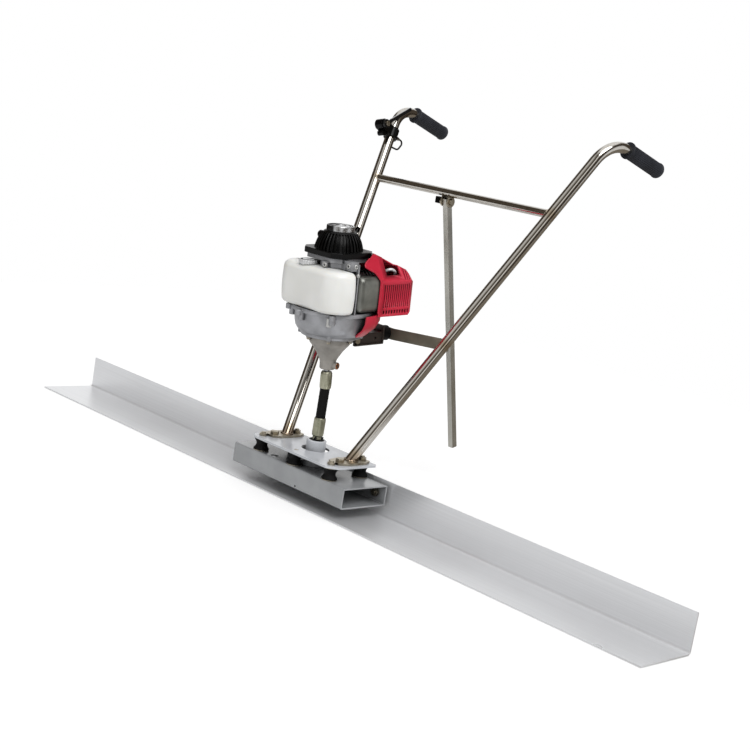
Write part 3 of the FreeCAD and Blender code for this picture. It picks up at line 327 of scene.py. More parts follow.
MATERIALS = {
    "board_aluminium": drawn_aluminium("board_aluminium"),
    "box_paint": finish("box_paint", tone(142, 144, 146), tone(156, 158, 160), (0.16, 0.24),
                        worn=tone(200, 201, 202), relief=0.05, Specular_IOR_Level=0.7),
    "plate_paint": finish("plate_paint", tone(182, 185, 190), tone(200, 203, 208), (0.16, 0.26),
                          worn=tone(222, 223, 224), relief=0.05, Specular_IOR_Level=0.7),
    "zinc_steel": finish("zinc_steel", tone(158, 148, 130), tone(196, 188, 170), (0.26, 0.42), 1.0,
                         patch=60.0, relief=0.12),
    "black_rubber": finish("black_rubber", tone(7, 7, 8), tone(16, 16, 17), (0.6, 0.8), relief=0.3,
                           Specular_IOR_Level=0.25),
    "bearing_steel": finish("bearing_steel", tone(170, 172, 174), tone(206, 208, 210), (0.14, 0.28), 1.0,
                            relief=0.05),
    "dark_steel": finish("dark_steel", tone(30, 30, 31), tone(58, 57, 56), (0.3, 0.45), 0.9, patch=80.0),
    "cast_iron": finish("cast_iron", tone(58, 58, 58), tone(92, 91, 90), (0.5, 0.7), 0.8, relief=0.4),
    "ferrule_zinc": finish("ferrule_zinc", tone(150, 152, 130), tone(184, 182, 162), (0.26, 0.40), 0.9,
                           patch=60.0, relief=0.12),
    "cone_casting": finish("cone_casting", tone(150, 146, 140), tone(172, 168, 162), (0.45, 0.62), 0.5,
                           patch=40.0, grain=520.0, relief=0.35),
    "cast_aluminium": finish("cast_aluminium", tone(146, 147, 150), tone(178, 179, 183), (0.34, 0.52), 0.6,
                             patch=36.0, grain=520.0, relief=0.28, worn=tone(206, 206, 206)),
    "tank_plastic": tank_white("tank_plastic"),
    "silver_plastic": finish("silver_plastic", tone(206, 207, 208), tone(226, 227, 228), (0.22, 0.34), 0.3,
                             relief=0.06),
    "muffler_steel": finish("muffler_steel", tone(112, 113, 108), tone(136, 137, 130), (0.28, 0.40), 0.6,
                            patch=26.0, relief=0.12),
    "black_plastic": finish("black_plastic", tone(4, 4, 5), tone(10, 10, 11), (0.22, 0.34), relief=0.10,
                            Specular_IOR_Level=0.22),
    "red_plastic": finish("red_plastic", tone(186, 32, 55), tone(208, 46, 70), (0.26, 0.38), patch=9.0,
                          relief=0.12, edge=3.0),
    "rope_fabric": braided("rope_fabric"),
    "bracket_paint": finish("bracket_paint", tone(40, 34, 30), tone(58, 50, 45), (0.36, 0.52),
                            worn=tone(120, 108, 96)),
    "stainless_tube": stainless("stainless_tube"),
    "bar_paint": finish("bar_paint", tone(104, 102, 90), tone(132, 129, 114), (0.34, 0.5), 0.35, patch=20.0,
                        worn=tone(158, 154, 140)),
    "grip_rubber": finish("grip_rubber", tone(40, 42, 48), tone(52, 54, 61), (0.5, 0.66), relief=0.08,
                          Specular_IOR_Level=0.35),
    "lever_steel": finish("lever_steel", tone(10, 10, 11), tone(20, 20, 22), (0.28, 0.42), relief=0.10),
    "cable_sheath": finish("cable_sheath", tone(7, 7, 7), tone(15, 15, 15), (0.38, 0.52), relief=0.10),
    "stand_paint": finish("stand_paint", tone(178, 176, 168), tone(198, 196, 188), (0.20, 0.30), 0.9,
                          worn=tone(214, 212, 206), patch=12.0, relief=0.04),
}


MACHINED = finish("machined", tone(196, 196, 194), tone(220, 220, 217), (0.3, 0.45), 0.6)
COPPER = finish("copper", tone(176, 116, 84), tone(206, 150, 118), (0.2, 0.35), 1.0, relief=0.08)
BADGE_HALVES = badge_halves("badge_halves")


# ---------------------------------------------------------------- shapes, in millimetres
def loft(rings, looped=False):
    """Points and faces of a skin through rings of equal length, closed at its ends or joined end to end."""
    count = len(rings[0])
    points = [Vector(point) for ring in rings for point in ring]
    faces = []
    for k in range(len(rings) if looped else len(rings) - 1):
        here, there = k * count, ((k + 1) % len(rings)) * count
        for i in range(count):
            j = (i + 1) % count
            faces.append((here + i, here + j, there + j, there + i))
    if not looped:
        faces.append(tuple(reversed(range(count))))
        faces.append(tuple(range(len(points) - count, len(points))))
    return points, faces


def lathe(profile, segments=64, shaped=None, looped=False):
    """A skin turned about Z from (radius, z) pairs; shaped gives another radius for an angle."""
    rings = []
    for radius, z in profile:
        ring = []
        for i in range(segments):
            angle = 2 * math.pi * i / segments
            reach = shaped(radius, z, angle) if shaped else radius
            ring.append((reach * math.cos(angle), reach * math.sin(angle), z))
        rings.append(ring)
    return loft(rings, looped)


def sweep(path, radius, segments=10, looped=False, ripple=0.0):
    """A round skin along a path; ripple makes the beads of a weld."""
    rings = []
    side = None
    last = len(path) - 1
    for i, point in enumerate(path):
        before = path[i - 1] if looped or i else point
        after = path[(i + 1) % len(path)] if looped or i < last else point
        tangent = (after - before).normalized()
        side = tangent.orthogonal() if side is None else side - tangent * side.dot(tangent)
        side.normalize()
        other = tangent.cross(side)
        reach = radius * (1 + ripple * math.sin(2.1 * i))
        rings.append([point + (side * math.cos(a) + other * math.sin(a)) * reach
                      for a in (2 * math.pi * k / segments for k in range(segments))])
    return loft(rings, looped)


def bar(start, end, width, thick, across, chamfer=0.5):
    """A flat bar with chamfered long edges between two points, lying across the given axis."""
    side = across.cross((end - start).normalized()).normalized()
    half, deep = width / 2, thick / 2
    flat, edge = half - chamfer, deep - chamfer
    section = [(half, edge), (flat, deep), (-flat, deep), (-half, edge),
               (-half, -edge), (-flat, -deep), (flat, -deep), (half, -edge)]
    return loft([[point + side * a + across * b for a, b in section] for point in (start, end)])


def brick(low, high):
    """The points and faces of a plain box, used only to cut with."""
    (x0, y0, z0), (x1, y1, z1) = low, high
    return loft([[(x0, y0, z), (x1, y0, z), (x1, y1, z), (x0, y1, z)] for z in (z0, z1)])


def faceted(planes, rounding):
    """The convex body behind a set of (point, outward normal) planes, with rounded edges."""
    form = bmesh.new()
    bmesh.ops.create_cube(form, size=600, matrix=Matrix.Translation((0, 100, 500)))
    for point, outward in planes:
        everything = form.verts[:] + form.edges[:] + form.faces[:]
        made = bmesh.ops.bisect_plane(form, geom=everything, plane_co=point, plane_no=outward,
                                      clear_outer=True)
        rim = [item for item in made["geom_cut"] if isinstance(item, bmesh.types.BMEdge)]
        bmesh.ops.edgeloop_fill(form, edges=rim)
    bmesh.ops.dissolve_limit(form, angle_limit=0.01, verts=form.verts[:], edges=form.edges[:])
    bmesh.ops.bevel(form, geom=form.edges[:], offset=rounding, segments=4, profile=0.5, affect="EDGES",
                    clamp_overlap=True)
    form.verts.index_update()
    points = [vertex.co.copy() for vertex in form.verts]
    faces = [tuple(vertex.index for vertex in face.verts) for face in form.faces]
    form.free()
    return points, faces


def spun(radius, degrees, z=0.0):
    """A point at a radius and an angle round Z."""
    angle = math.radians(degrees)
    return Vector((radius * math.cos(angle), radius * math.sin(angle), z))


def arc_of(section, start, span, steps):
    """A (radius, z) section turned through part of a circle, from an angle in degrees."""
    angles = [start + span * k / steps for k in range(steps + 1)]
    return loft([[spun(radius, angle, z) for radius, z in section] for angle in angles])


def smoothed(bends, steps):
    """Points along a smooth curve through the bends."""
    path = []
    for i in range(len(bends) - 1):
        before, here, there, after = (bends[min(max(i + k, 0), len(bends) - 1)] for k in (-1, 0, 1, 2))
        for k in range(steps):
            t = k / steps
            path.append(0.5 * (2 * here + (there - before) * t
                               + (2 * before - 5 * here + 4 * there - after) * t * t
                               + (3 * here - before - 3 * there + after) * t ** 3))
    return path


def placed(part, matrix):
    """A shape moved by a matrix."""
    return [matrix @ point for point in part[0]], part[1]


def joined(*parts):
    """Several shapes as one."""
    points, faces = [], []
    for part_points, part_faces in parts:
        offset = len(points)
        points.extend(part_points)
        faces.extend(tuple(index + offset for index in face) for face in part_faces)
    return points, faces


def aimed(origin, direction):
    """A placement that takes +Z to a direction from an origin."""
    turn = Vector((0, 0, 1)).rotation_difference(direction).to_matrix().to_4x4()
    return Matrix.Translation(origin) @ turn


def mirrored(part):
    """A shape laid over to the other side of the machine."""
    return [Vector((-p.x, p.y, p.z)) for p in part[0]], [tuple(reversed(face)) for face in part[1]]


def piece(name, part, slot, body="chassis", place=UPRIGHT, stands_for=(), crease=32.0, coat=None):
    """A finished mesh object made from a shape, riding on its body; a coat overrules its slot's finish."""
    mesh = bpy.data.meshes.new(name)
    mesh.from_pydata([point * MM for point in part[0]], [], part[1])
    tidy = bmesh.new()
    tidy.from_mesh(mesh)
    bmesh.ops.recalc_face_normals(tidy, faces=tidy.faces)
    tidy.to_mesh(mesh)
    tidy.free()
    mesh.polygons.foreach_set("use_smooth", [True] * len(mesh.polygons))
    mesh.set_sharp_from_angle(angle=math.radians(crease))
    mesh.materials.append(coat or MATERIALS[slot])
    made = bpy.data.objects.new(name, mesh)
    bpy.context.scene.collection.objects.link(made)
    made.matrix_world = place
    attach(made, body)
    if stands_for:
        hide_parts(*stands_for)
    return made


def cut(target, part):
    """Take a shape away from a piece, in the piece's own coordinates."""
    cutter = piece("cutter", part, "black_plastic", place=LEANING)
    modifier = target.modifiers.new("cut", "BOOLEAN")
    modifier.object = cutter
    modifier.operation = "DIFFERENCE"
    bpy.context.view_layer.update()
    mesh = bpy.data.meshes.new_from_object(target.evaluated_get(bpy.context.evaluated_depsgraph_get()))
    target.modifiers.clear()
    target.data = mesh
    bpy.data.objects.remove(cutter)


# ---------------------------------------------------------------- handles
def on_handle(start, direction):
    """Where a line from inside a bar first meets the skin of the right-hand handle."""
    flat = direction - HANDLE_AXIS * direction.dot(HANDLE_AXIS)
    away = start - HANDLE_FOOT
    away -= HANDLE_AXIS * away.dot(HANDLE_AXIS)
    a, b, c = flat.dot(flat), 2 * flat.dot(away), away.dot(away) - HANDLE_RADIUS ** 2
    return start + direction * ((-b - math.sqrt(b * b - 4 * a * c)) / (2 * a))


def weld_beads():
    """The beads at the feet of the handles and at both ends of the upper bar."""
    across = HANDLE_AXIS.orthogonal().normalized()
    other = HANDLE_AXIS.cross(across)
    foot, bar_end = [], []
    centre = handle_point(FLANGE_TOP_Z)
    bar_centre = handle_point(UPPER_BAR_Z)
    for i in range(72):
        angle = math.radians(5 * i)
        rim = centre + (across * math.cos(angle) + other * math.sin(angle)) * HANDLE_RADIUS
        rim += HANDLE_AXIS * ((FLANGE_TOP_Z + 0.6 - rim.z) / HANDLE_AXIS.z)
        foot.append(rim)
        skin = Vector((0, bar_centre.y + (UPPER_BAR_RADIUS - 0.6) * math.cos(angle),
                       bar_centre.z + (UPPER_BAR_RADIUS - 0.6) * math.sin(angle)))
        bar_end.append(on_handle(skin, Vector((1, 0, 0))))
    beads = joined(sweep(foot, 2.4, 8, looped=True, ripple=0.16),
                   sweep(bar_end, 1.8, 8, looped=True, ripple=0.16))
    piece("handle_welds", joined(beads, mirrored(beads)), "stainless_tube", crease=60)


def grip_skin():
    """A ribbed sleeve with a collar at its mouth and a rounded, closed end."""
    ribs = 26

    def ribbed(radius, z, angle):
        if 9 < z < 117 and radius > 15:
            return radius - 1.1 * (0.5 + 0.5 * math.cos(ribs * angle)) ** 2
        return radius

    profile = [(12.6, 0.0), (19.2, 0.0), (20.0, 0.8), (20.0, 3.6), (19.2, 4.8), (17.7, 6.2), (17.5, 8.9)]
    profile += [(17.5, 9.6 + i * 10.6) for i in range(11)]
    profile += [(17.5, 117.2), (18.3, 118.4), (18.6, 120.0), (18.5, 122.0), (17.4, 124.2), (14.5, 125.6),
                (9.0, 126.3), (2.0, 126.4)]
    return lathe(profile, ribs * 8, ribbed)


def handle_grips():
    """Both grips, over the ends of the handles."""
    skin = placed(grip_skin(), aimed(HANDLE_CORNER + GRIP_AXIS * GRIP_START, GRIP_AXIS))
    piece("right_grip", skin, "grip_rubber", stands_for=["handle_grips"])
    piece("left_grip", mirrored(skin), "grip_rubber", stands_for=["handle_grips"])


# ---------------------------------------------------------------- throttle
def throttle_axes():
    """The left handle's axes at the clamp: its origin, along the tube, outward from the bend, and across."""
    along = HANDLE_AXIS
    outward = (along * along.dot(GRIP_AXIS) - GRIP_AXIS).normalized()
    origin = handle_point(CLAMP_Z)
    origin, along, outward = (Vector((-v.x, v.y, v.z)) for v in (origin, along, outward))
    return origin, along, outward, along.cross(outward)


def throttle_point(t, n, b=0.0):
    """A point along the left handle, outward from its bend, and across."""
    origin, along, outward, across = throttle_axes()
    return origin + along * t + outward * n + across * b


def throttle_details():
    """The bright edge of the lever and the knurled cable adjuster."""
    across = throttle_axes()[3]
    run = (LEVER_TIP - LEVER_PIVOT).normalized()
    out = Vector((-run.y, run.x)) * 3.7
    start = throttle_point(*(LEVER_PIVOT + run * 22 + out), LEVER_OFFSET)
    end = throttle_point(*(LEVER_TIP + out), LEVER_OFFSET)
    piece("lever_edge", bar(start, end, 2.0, 4.6, across, 0.4), "bearing_steel", "throttle_lever_body")
    begin, onward = throttle_point(0.6, -19.4), throttle_point(10, -52)

    def knurled(radius, z, angle):
        return radius - (0.35 if z > 1 and radius > 4 and math.cos(20 * angle) < 0 else 0.0)

    profile = [(2.3, -3), (3.6, -3), (3.6, 0.5), (4.6, 1.0), (4.6, 8.0), (3.9, 8.8), (3.9, 12), (2.3, 13)]
    barrel = placed(lathe(profile, 80, knurled, looped=True), aimed(begin, (onward - begin).normalized()))
    piece("cable_adjuster", barrel, "bearing_steel")


# ---------------------------------------------------------------- base
def rubber_mounts():
    """Waisted rubber buffers between steel discs."""
    low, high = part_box("rubber_mounts")
    bottom, top = low.z / MM, high.z / MM
    height = top - bottom
    rubber, discs = [], []
    waist = [(18.0 - 5.2 * math.sin(math.pi * i / 12), 3.6 + i / 12 * (height - 7.2)) for i in range(13)]
    skin = [(2, 1.8), (17.4, 1.8), (18.0, 2.4)] + waist + [(18.0, height - 2.4), (17.4, height - 1.8),
                                                          (2, height - 1.8)]
    for x, y in RUBBER_MOUNTS:
        seat = Matrix.Translation((x, y, bottom))
        rubber.append(placed(lathe(skin, 48), seat))
        for z in (0.0, height - 1.9):
            discs.append(placed(lathe([(2, z), (17.2, z), (17.6, z + 0.4), (17.6, z + 1.5), (17.2, z + 1.9),
                                       (2, z + 1.9)], 48), seat))
    piece("mount_rubber", joined(*rubber), "black_rubber", stands_for=["rubber_mounts"])
    piece("mount_discs", joined(*discs), "zinc_steel")


def crimped(radius, z, angle):
    """The lengthwise pinches of a crimped hose end."""
    return radius - (1.0 * max(0.0, math.cos(8 * angle)) ** 3 if radius > 13.1 else 0.0)


def hose_drive():
    """The rubber hose and the two zinc ferrules that are crimped on it."""
    ridge = [(11.0 + 0.12 * math.sin(i * 1.3), 160 + i * 2.0) for i in range(50)]
    piece("hose_rubber", lathe([(2, 160)] + ridge + [(2, 258)], 48), "black_rubber", "exciter_rotor",
          stands_for=["drive_hose"])
    lower = [(7.6, 132.5), (10.0, 132.5), (10.5, 133), (10.5, 139), (13, 142), (13.1, 145), (13.5, 147),
             (13.5, 176), (13.1, 178), (12.8, 181), (12.2, 182), (11.1, 182), (11.1, 160), (7.6, 159)]
    piece("lower_ferrule_skin", lathe(lower, 128, crimped, looped=True), "ferrule_zinc", "exciter_rotor",
          stands_for=["lower_ferrule"])
    upper = [(11.7, 251), (12.4, 251), (13.0, 253), (13.1, 256), (13.5, 258), (13.5, 280), (13.1, 282),
             (12.9, 286), (11.0, 290), (6.2, 290), (6.2, 262), (11.7, 260)]
    piece("upper_ferrule_skin", lathe(upper, 128, crimped, looped=True), "ferrule_zinc", "clutch_output",
          LEANING, ["upper_ferrule"])


# ---------------------------------------------------------------- engine
def plan_outline(limits, inset, front, back):
    """A rounded plan with its own front and back corner radii, moved inward by inset."""
    left, right, near, far = limits[0] + inset, limits[1] - inset, limits[2] + inset, limits[3] - inset
    wide, tight = max(front - inset, 3), max(back - inset, 3)
    corners = ((right - wide, near + wide, wide, -90), (right - tight, far - tight, tight, 0),
               (left + tight, far - tight, tight, 90), (left + wide, near + wide, wide, 180))
    arcs = [[(cx + r * math.cos(math.radians(start + 9 * k)), cy + r * math.sin(math.radians(start + 9 * k)))
             for k in range(11)] for cx, cy, r, start in corners]
    outline = []
    for i, arc in enumerate(arcs):
        outline.extend(arc)
        (x0, y0), (x1, y1) = arc[-1], arcs[(i + 1) % 4][0]
        outline.extend((x0 + (x1 - x0) * t / 6, y0 + (y1 - y0) * t / 6) for t in range(1, 6))
    return outline


def fuel_tank():
    """A moulded tank with bulging sides and a soft upper edge, scooped out round the crankcase."""
    bottom, top = 439.2, 532.0
    levels = []
    for k in range(7):
        angle = math.radians(15 * k)
        levels.append((9 * (1 - math.sin(angle)), bottom + 9 * (1 - math.cos(angle))))
    for k in range(1, 10):
        rise = k / 10
        levels.append((-1.6 * (1 - (2 * rise - 1) ** 2), bottom + 9 + rise * (top - bottom - 23)))
    for k in range(9):
        angle = math.radians(11.25 * k)
        levels.append((17 * (1 - math.cos(angle)), top - 14 + 14 * math.sin(angle)))
    levels.append((24, top + 0.5))
    rings = [[(x, y, z) for x, y in plan_outline(TANK_PLAN, inset, 46, 14)] for inset, z in levels]
    tank = piece("tank_skin", loft(rings), "tank_plastic", place=LEANING, stands_for=["fuel_tank"], crease=40)
    cut(tank, lathe([(47.5, 400), (47.5, 600)], 96))
    profile = [(13.5, 530), (16, 530), (16, 534), (15.2, 535), (16, 536), (16, 537.4), (15.4, 538),
               (13.5, 538)]
    neck = placed(lathe(profile, 48, looped=True), Matrix.Translation(FILLER))
    piece("tank_neck", neck, "tank_plastic", place=LEANING)


def muffler():
    """A pressed can with wide round corners and soft upper and lower edges, and the stub to the port."""
    levels = [(16, 440.0), (12.0, 440.4)]
    for k in range(1, 9):
        angle = math.radians(11.25 * k)
        levels.append((12 * (1 - math.sin(angle)), 440.4 + 16 * (1 - math.cos(angle))))
    levels += [(-0.6 * math.sin(math.pi * k / 6), 456.4 + k * 47.6 / 6) for k in range(1, 6)]
    for k in range(9):
        angle = math.radians(11.25 * k)
        levels.append((12 * (1 - math.cos(angle)), 504 + 16 * math.sin(angle)))
    levels.append((16, 520.4))
    can = loft([[(x, y, z) for x, y in plan_outline(MUFFLER_PLAN, inset, 19, 12)] for inset, z in levels])
    along = Vector((14, -14, 0)).normalized()
    stub = lathe([(6.5, 0), (9.0, 0), (9.0, 17), (6.5, 17)], 40, looped=True)
    stub = placed(stub, aimed(Vector((47, 69, 485)), along))
    piece("muffler_can", joined(can, stub), "muffler_steel", place=LEANING, stands_for=["muffler"], crease=40)


def shroud_planes(inset, front):
    """The planes of the engine cover's form, moved inward by inset."""
    planes = (((COVER_RIGHT, 0, 0), (1, 0, 0)), ((COVER_LEFT, 0, 0), (-1, 0, 0)),
              ((0, 0, COVER_BOTTOM), (0, 0, -1)), ((0, COVER_BACK, 0), (0, 1, 0)),
              ((0, 0, COVER_TOP), (0, 0, 1)), ((COVER_RIGHT, 0, SHOULDER_Z), SLOPE),
              ((COVER_LEFT, 0, 553), (-1, 0, 1)), ((COVER_LEFT, 149, 0), (-17, 18, 0)),
              ((COVER_RIGHT, 134, 0), (28, 23, 0)), ((0, COVER_FRONT, COVER_TOP + 1), (0, 0.42, 1)),
              ((94, 150, 500), (0.55, 0.62, 0.56)))
    moved = []
    for point, outward in planes:
        outward = Vector(outward)
        moved.append((Vector(point) - outward.normalized() * inset, outward))
    return moved + [(Vector((0, front, 0)), Vector((0, -1, 0)))]


def on_slope(y, z, lift=0.0):
    """A point on the cover's sloping shoulder, or lifted off it."""
    return Vector((COVER_RIGHT - (z - SHOULDER_Z) * SLOPE.z / SLOPE.x, y, z)) + SLOPE.normalized() * lift


def engine_cover():
    """The red cover: a rounded shell with vents that run round its corner, a window, a lip and a skirt."""
    cover = piece("cover_shell", faceted(shroud_planes(0, COVER_FRONT), 7), "red_plastic", place=LEANING,
                  stands_for=["engine_shroud"], crease=34)
    cut(cover, faceted(shroud_planes(3, 20), 5))
    octagon = [(-63, -44), (63, -44), (63, 44), (44, 63), (-44, 63), (-63, 44)]
    cut(cover, loft([[(x, y, z) for x, y in octagon] for z in (543, 640)]))
    cut(cover, lathe([(96, 425), (96, 440)], 96))
    vents = [brick((74, 55 + 6.1 * i, 452), (110, 58.2 + 6.1 * i, 503)) for i in range(15)]
    vents += [brick((88, 56 + 8.2 * i, 438), (110, 61 + 8.2 * i, 446)) for i in range(10)]
    vents += [brick((60, 116 + 6.1 * i, 512), (104, 119 + 6.1 * i, 560)) for i in range(5)]
    vents += [brick((-60, 118, 496), (-45, 138, 504)), brick((-60, 55, 462), (-40, 85, 508))]
    cut(cover, joined(*vents))
    cut(cover, brick((68, 64, 518), (94, 104, 575)))
    brow = [(7, 541), (20, 535.5), (32, 530), (40, 520), (46, 511), (52, 513), (52, 563), (40, 566),
            (27, 557), (13, 549)]
    flap = loft([[on_slope(y, z, lift) for y, z in brow] for lift in (-2.6, 0.4)])
    piece("cover_brow", flap, "red_plastic", place=LEANING)
    edge = ((27, 557), (13, 549), (8.5, 544.5), (8, 541.5), (20, 535.5), (32, 530), (38.5, 522), (42.5, 514))
    rim = [on_slope(y, z, -0.6) for y, z in edge]
    rim += [Vector((99.4, 43.4, z)) for z in (508, 496, 470, 450, 440)]
    piece("cover_bead", sweep(rim, 2.2, 14), "red_plastic", place=LEANING, crease=60)
    section = ((79, 384), (98, 402), (106, 418), (107, 436), (104, 436), (103, 419), (95.5, 404), (77, 387.5))
    skirt = piece("cover_skirt", arc_of(section, 2, 145, 58), "red_plastic", place=LEANING)
    cut(skirt, brick((-14, 50, 360), (14, 110, 413)))


def fan_case():
    """The cast fan case: a drum with a rounded lower corner, a flange with ears, and bolt bosses."""
    profile = [(50, 373.4), (64.5, 373.4), (66.5, 374.4), (67.5, 376.5), (67.5, 380.5), (70.5, 381.5),
               (76, 387), (80, 393.5), (82.5, 404), (84, 416), (84.5, 424), (85.5, 428.6), (91, 429.4),
               (92, 430.4), (92, 435.2), (91.2, 436), (81, 436), (80, 429), (79, 414), (75, 405), (68, 394),
               (60, 385), (50, 382)]
    parts = [lathe(profile, 144, looped=True)]
    for degrees in (190, 228, 268, 318):
        for reach, base in ((97, 424), (88.5, 412)):
            boss = lathe([(1, base), (6.2, base), (7, base + 1), (7, 435), (6.2, 436), (1, 436)], 32)
            parts.append(placed(boss, Matrix.Translation(spun(reach, degrees))))
    lug = lathe([(1, 373.5), (6, 373.5), (6.8, 374.4), (6.8, 381), (5.8, 384), (1, 386)], 32)
    parts += [placed(lug, Matrix.Translation(spun(65.5, degrees))) for degrees in (-45, 45, 135, 225)]
    piece("fan_case", joined(*parts), "cast_aluminium", place=LEANING, stands_for=["fan_cover"], crease=30)
    foot = [(-12, 60), (12, 60), (13, 62), (13, 99), (12, 100), (-12, 100), (-13, 99), (-13, 62)]
    piece("fan_case_foot", loft([[(x, y, z) for x, y in foot] for z in (373.6, 411.5)]), "cast_aluminium",
          place=LEANING)
    bright = lathe([(1, 408), (5.4, 408), (6.2, 409), (6.2, 427), (5.2, 428), (1, 428)], 6)
    bright = placed(bright, Matrix.Translation(spun(84.5, -46)))
    piece("fan_case_boss", bright, "cast_aluminium", place=LEANING, coat=MACHINED)


def casting_bosses():
    """Bright bolt bosses and a bolt head at the tank's corner and front."""
    hollow = lathe([(2.4, -2), (2.4, 1.2), (3.2, 2.0), (4.6, 2.0), (5.4, 1.2), (5.4, -2)], 40, looped=True)
    head = lathe([(1, -2), (4.2, -2), (4.2, 1.6), (3.4, 2.4), (1, 2.4)], 40)
    parts = [placed(hollow, aimed(Vector((86, -23, 543)), Vector((1, 0, 0)))),
             placed(head, aimed(Vector((90, -18.5, 524)), Vector((1, 0, 0)))),
             placed(hollow, aimed(Vector((76, -36, 543)), Vector((0, -1, 0)))),
             placed(hollow, aimed(Vector((30, -63.6, 539.6)), Vector((0, -1, 0))))]
    piece("casting_bosses", joined(*parts), "cast_aluminium", place=LEANING, coat=MACHINED)


def plug_lead():
    """The pale spark lead that shows in the window of the engine cover."""
    bends = ((60, 72, 508), (68, 76, 524), (78, 86, 532), (81, 98, 529), (74, 108, 518), (62, 112, 504))
    path = smoothed([Vector(bend) for bend in bends], 6)
    piece("plug_lead", sweep(path, 3.2, 16), "silver_plastic", place=LEANING)


def boss_rim():
    """The bright copper-coloured rim of the hole in the cone's side boss."""
    rim = lathe([(3.2, -1.5), (3.2, 0.5), (4.0, 1.1), (6.6, 1.1), (7.4, 0.4), (7.4, -1.5)], 48, looped=True)
    outward = Vector((18, 4.5, 0)).normalized()
    piece("boss_rim", placed(rim, aimed(Vector((26, 6.5, 307)), outward)), "cone_casting", place=LEANING,
          coat=COPPER)


def filler_cap():
    """A flanged cap with finger grips and a sunken middle."""

    def fluted(radius, z, angle):
        return radius - (0.9 if radius > 19.5 and math.cos(18 * angle) < -0.2 else 0.0)

    profile = [(16.6, 532.6), (20.2, 532.6), (21.0, 533.6), (21.0, 539.4), (20.4, 541.2), (19.4, 542.0),
               (18.4, 542.0), (17.6, 541.2), (17.0, 537.4), (2.0, 537.0)]
    cap = placed(lathe(profile, 144, fluted), Matrix.Translation(FILLER))
    piece("filler_cap", cap, "silver_plastic", "fuel_cap_body", LEANING, ["fuel_cap"])
    reach = Vector((12.4, 12.4, 0)) / math.sqrt(2)
    middle = FILLER + Vector((0, 0, 540.6))
    handle = bar(middle - reach, middle + reach, 8.0, 5.4, Vector((0, 0, 1)), 1.2)
    piece("filler_cap_bar", handle, "silver_plastic", "fuel_cap_body", LEANING)
    recess = lathe([(1, 537.2), (16.9, 537.4), (16.9, 537.9), (1, 537.7)], 48)
    piece("filler_recess", placed(recess, Matrix.Translation(FILLER)), "black_plastic", "fuel_cap_body",
          LEANING)


def starter_shape(radius, z, angle):
    """An eight-sided rim below, and a slotted dome with thin fins above."""
    if z < STARTER_RIM_Z:
        sides = [STARTER_RIM / abs(math.cos(angle - turn)) for turn in (0, math.pi / 2)]
        sides += [STARTER_CORNER / abs(math.cos(angle - turn)) for turn in (math.pi / 4, -math.pi / 4)]
        return min(sides) * radius / STARTER_RIM
    if FINS_LOW <= z <= FINS_HIGH:
        step = (math.degrees(angle) % 10) / 10
        if abs(step - 0.5) < 0.2:
            return radius - 4.5
        if step < 0.09 or step > 0.91:
            return radius + 0.7
    return radius


def starter():
    """The recoil starter's cover and its badge plate."""
    profile = [(50, 555), (60.2, 555), (61, 556), (61, 566), (60.2, 567.2), (54.5, 567.6), (53.6, 568.0),
               (53.5, 568.5), (52.6, 572.0), (51.0, 578.0), (48.8, 584.6), (46.2, 590.4), (43.0, 596.0),
               (40.0, 600.4), (37.6, 603.4), (37.2, 603.8), (35.6, 605.8), (33.2, 607.2), (20, 607.2)]
    piece("starter_dome", lathe(profile, 360, starter_shape), "black_plastic", place=LEANING,
          stands_for=["starter_cover"], crease=28)
    guide = lathe([(3.0, 0), (7.0, 0), (7.0, 3.4), (8.6, 4.6), (9.2, 7.0), (8.8, 10.0), (7.4, 12.2),
                   (5.4, 13.0), (3.0, 13.0)], 48, looped=True)
    guide = placed(guide, aimed(Vector((-36, 0, ROPE_Z)), Vector((-1, 0, 0))))
    piece("starter_guide", guide, "black_plastic", place=LEANING)
    cap = [(20, 607.1), (30.4, 607.1), (31, 607.8), (31, 617.2), (30.2, 618.6), (28.6, 619.0), (27.2, 618.8),
           (26.4, 617.2), (20.5, 617.0), (19.8, 618.2), (12.0, 618.6), (11.2, 617.6), (2, 617.6)]
    plate = lathe(cap, 96)
    ridge = ((21.8, 617.0), (24.8, 617.0), (24.4, 618.6), (22.2, 618.6))
    arcs = [arc_of(ridge, start, 34, 12) for start in (-62, -18, 26, 70)]
    piece("starter_plate", joined(plate, *arcs), "silver_plastic", place=LEANING,
          stands_for=["starter_badge"], coat=BADGE_HALVES)


def starter_rope():
    """The cord from the reel, through the guide, to the pull grip."""
    path = [Vector((x, y, ROPE_Z)) for x, y in ((-14.6, 17.7), (-22, 10.5), (-29, 4.2), (-34, 1.0))]
    path += [Vector((-38 - i * 0.45, 0, ROPE_Z)) for i in range(26)]
    made = piece("pull_cord", sweep(path, 1.5, 12), "rope_fabric", place=LEANING, stands_for=["starter_rope"])
    made.parent = None
    made.matrix_world = LEANING
    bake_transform(made)


# ---------------------------------------------------------------- scene
def finish_cad_nodes():
    """Give every CAD node that stays the finish of its slot."""
    for part in frame["record"]["subparts"]:
        node = frame["nodes"][part["node"]]
        for material_slot in node.material_slots:
            material_slot.material = MATERIALS[part["material_slot"]]


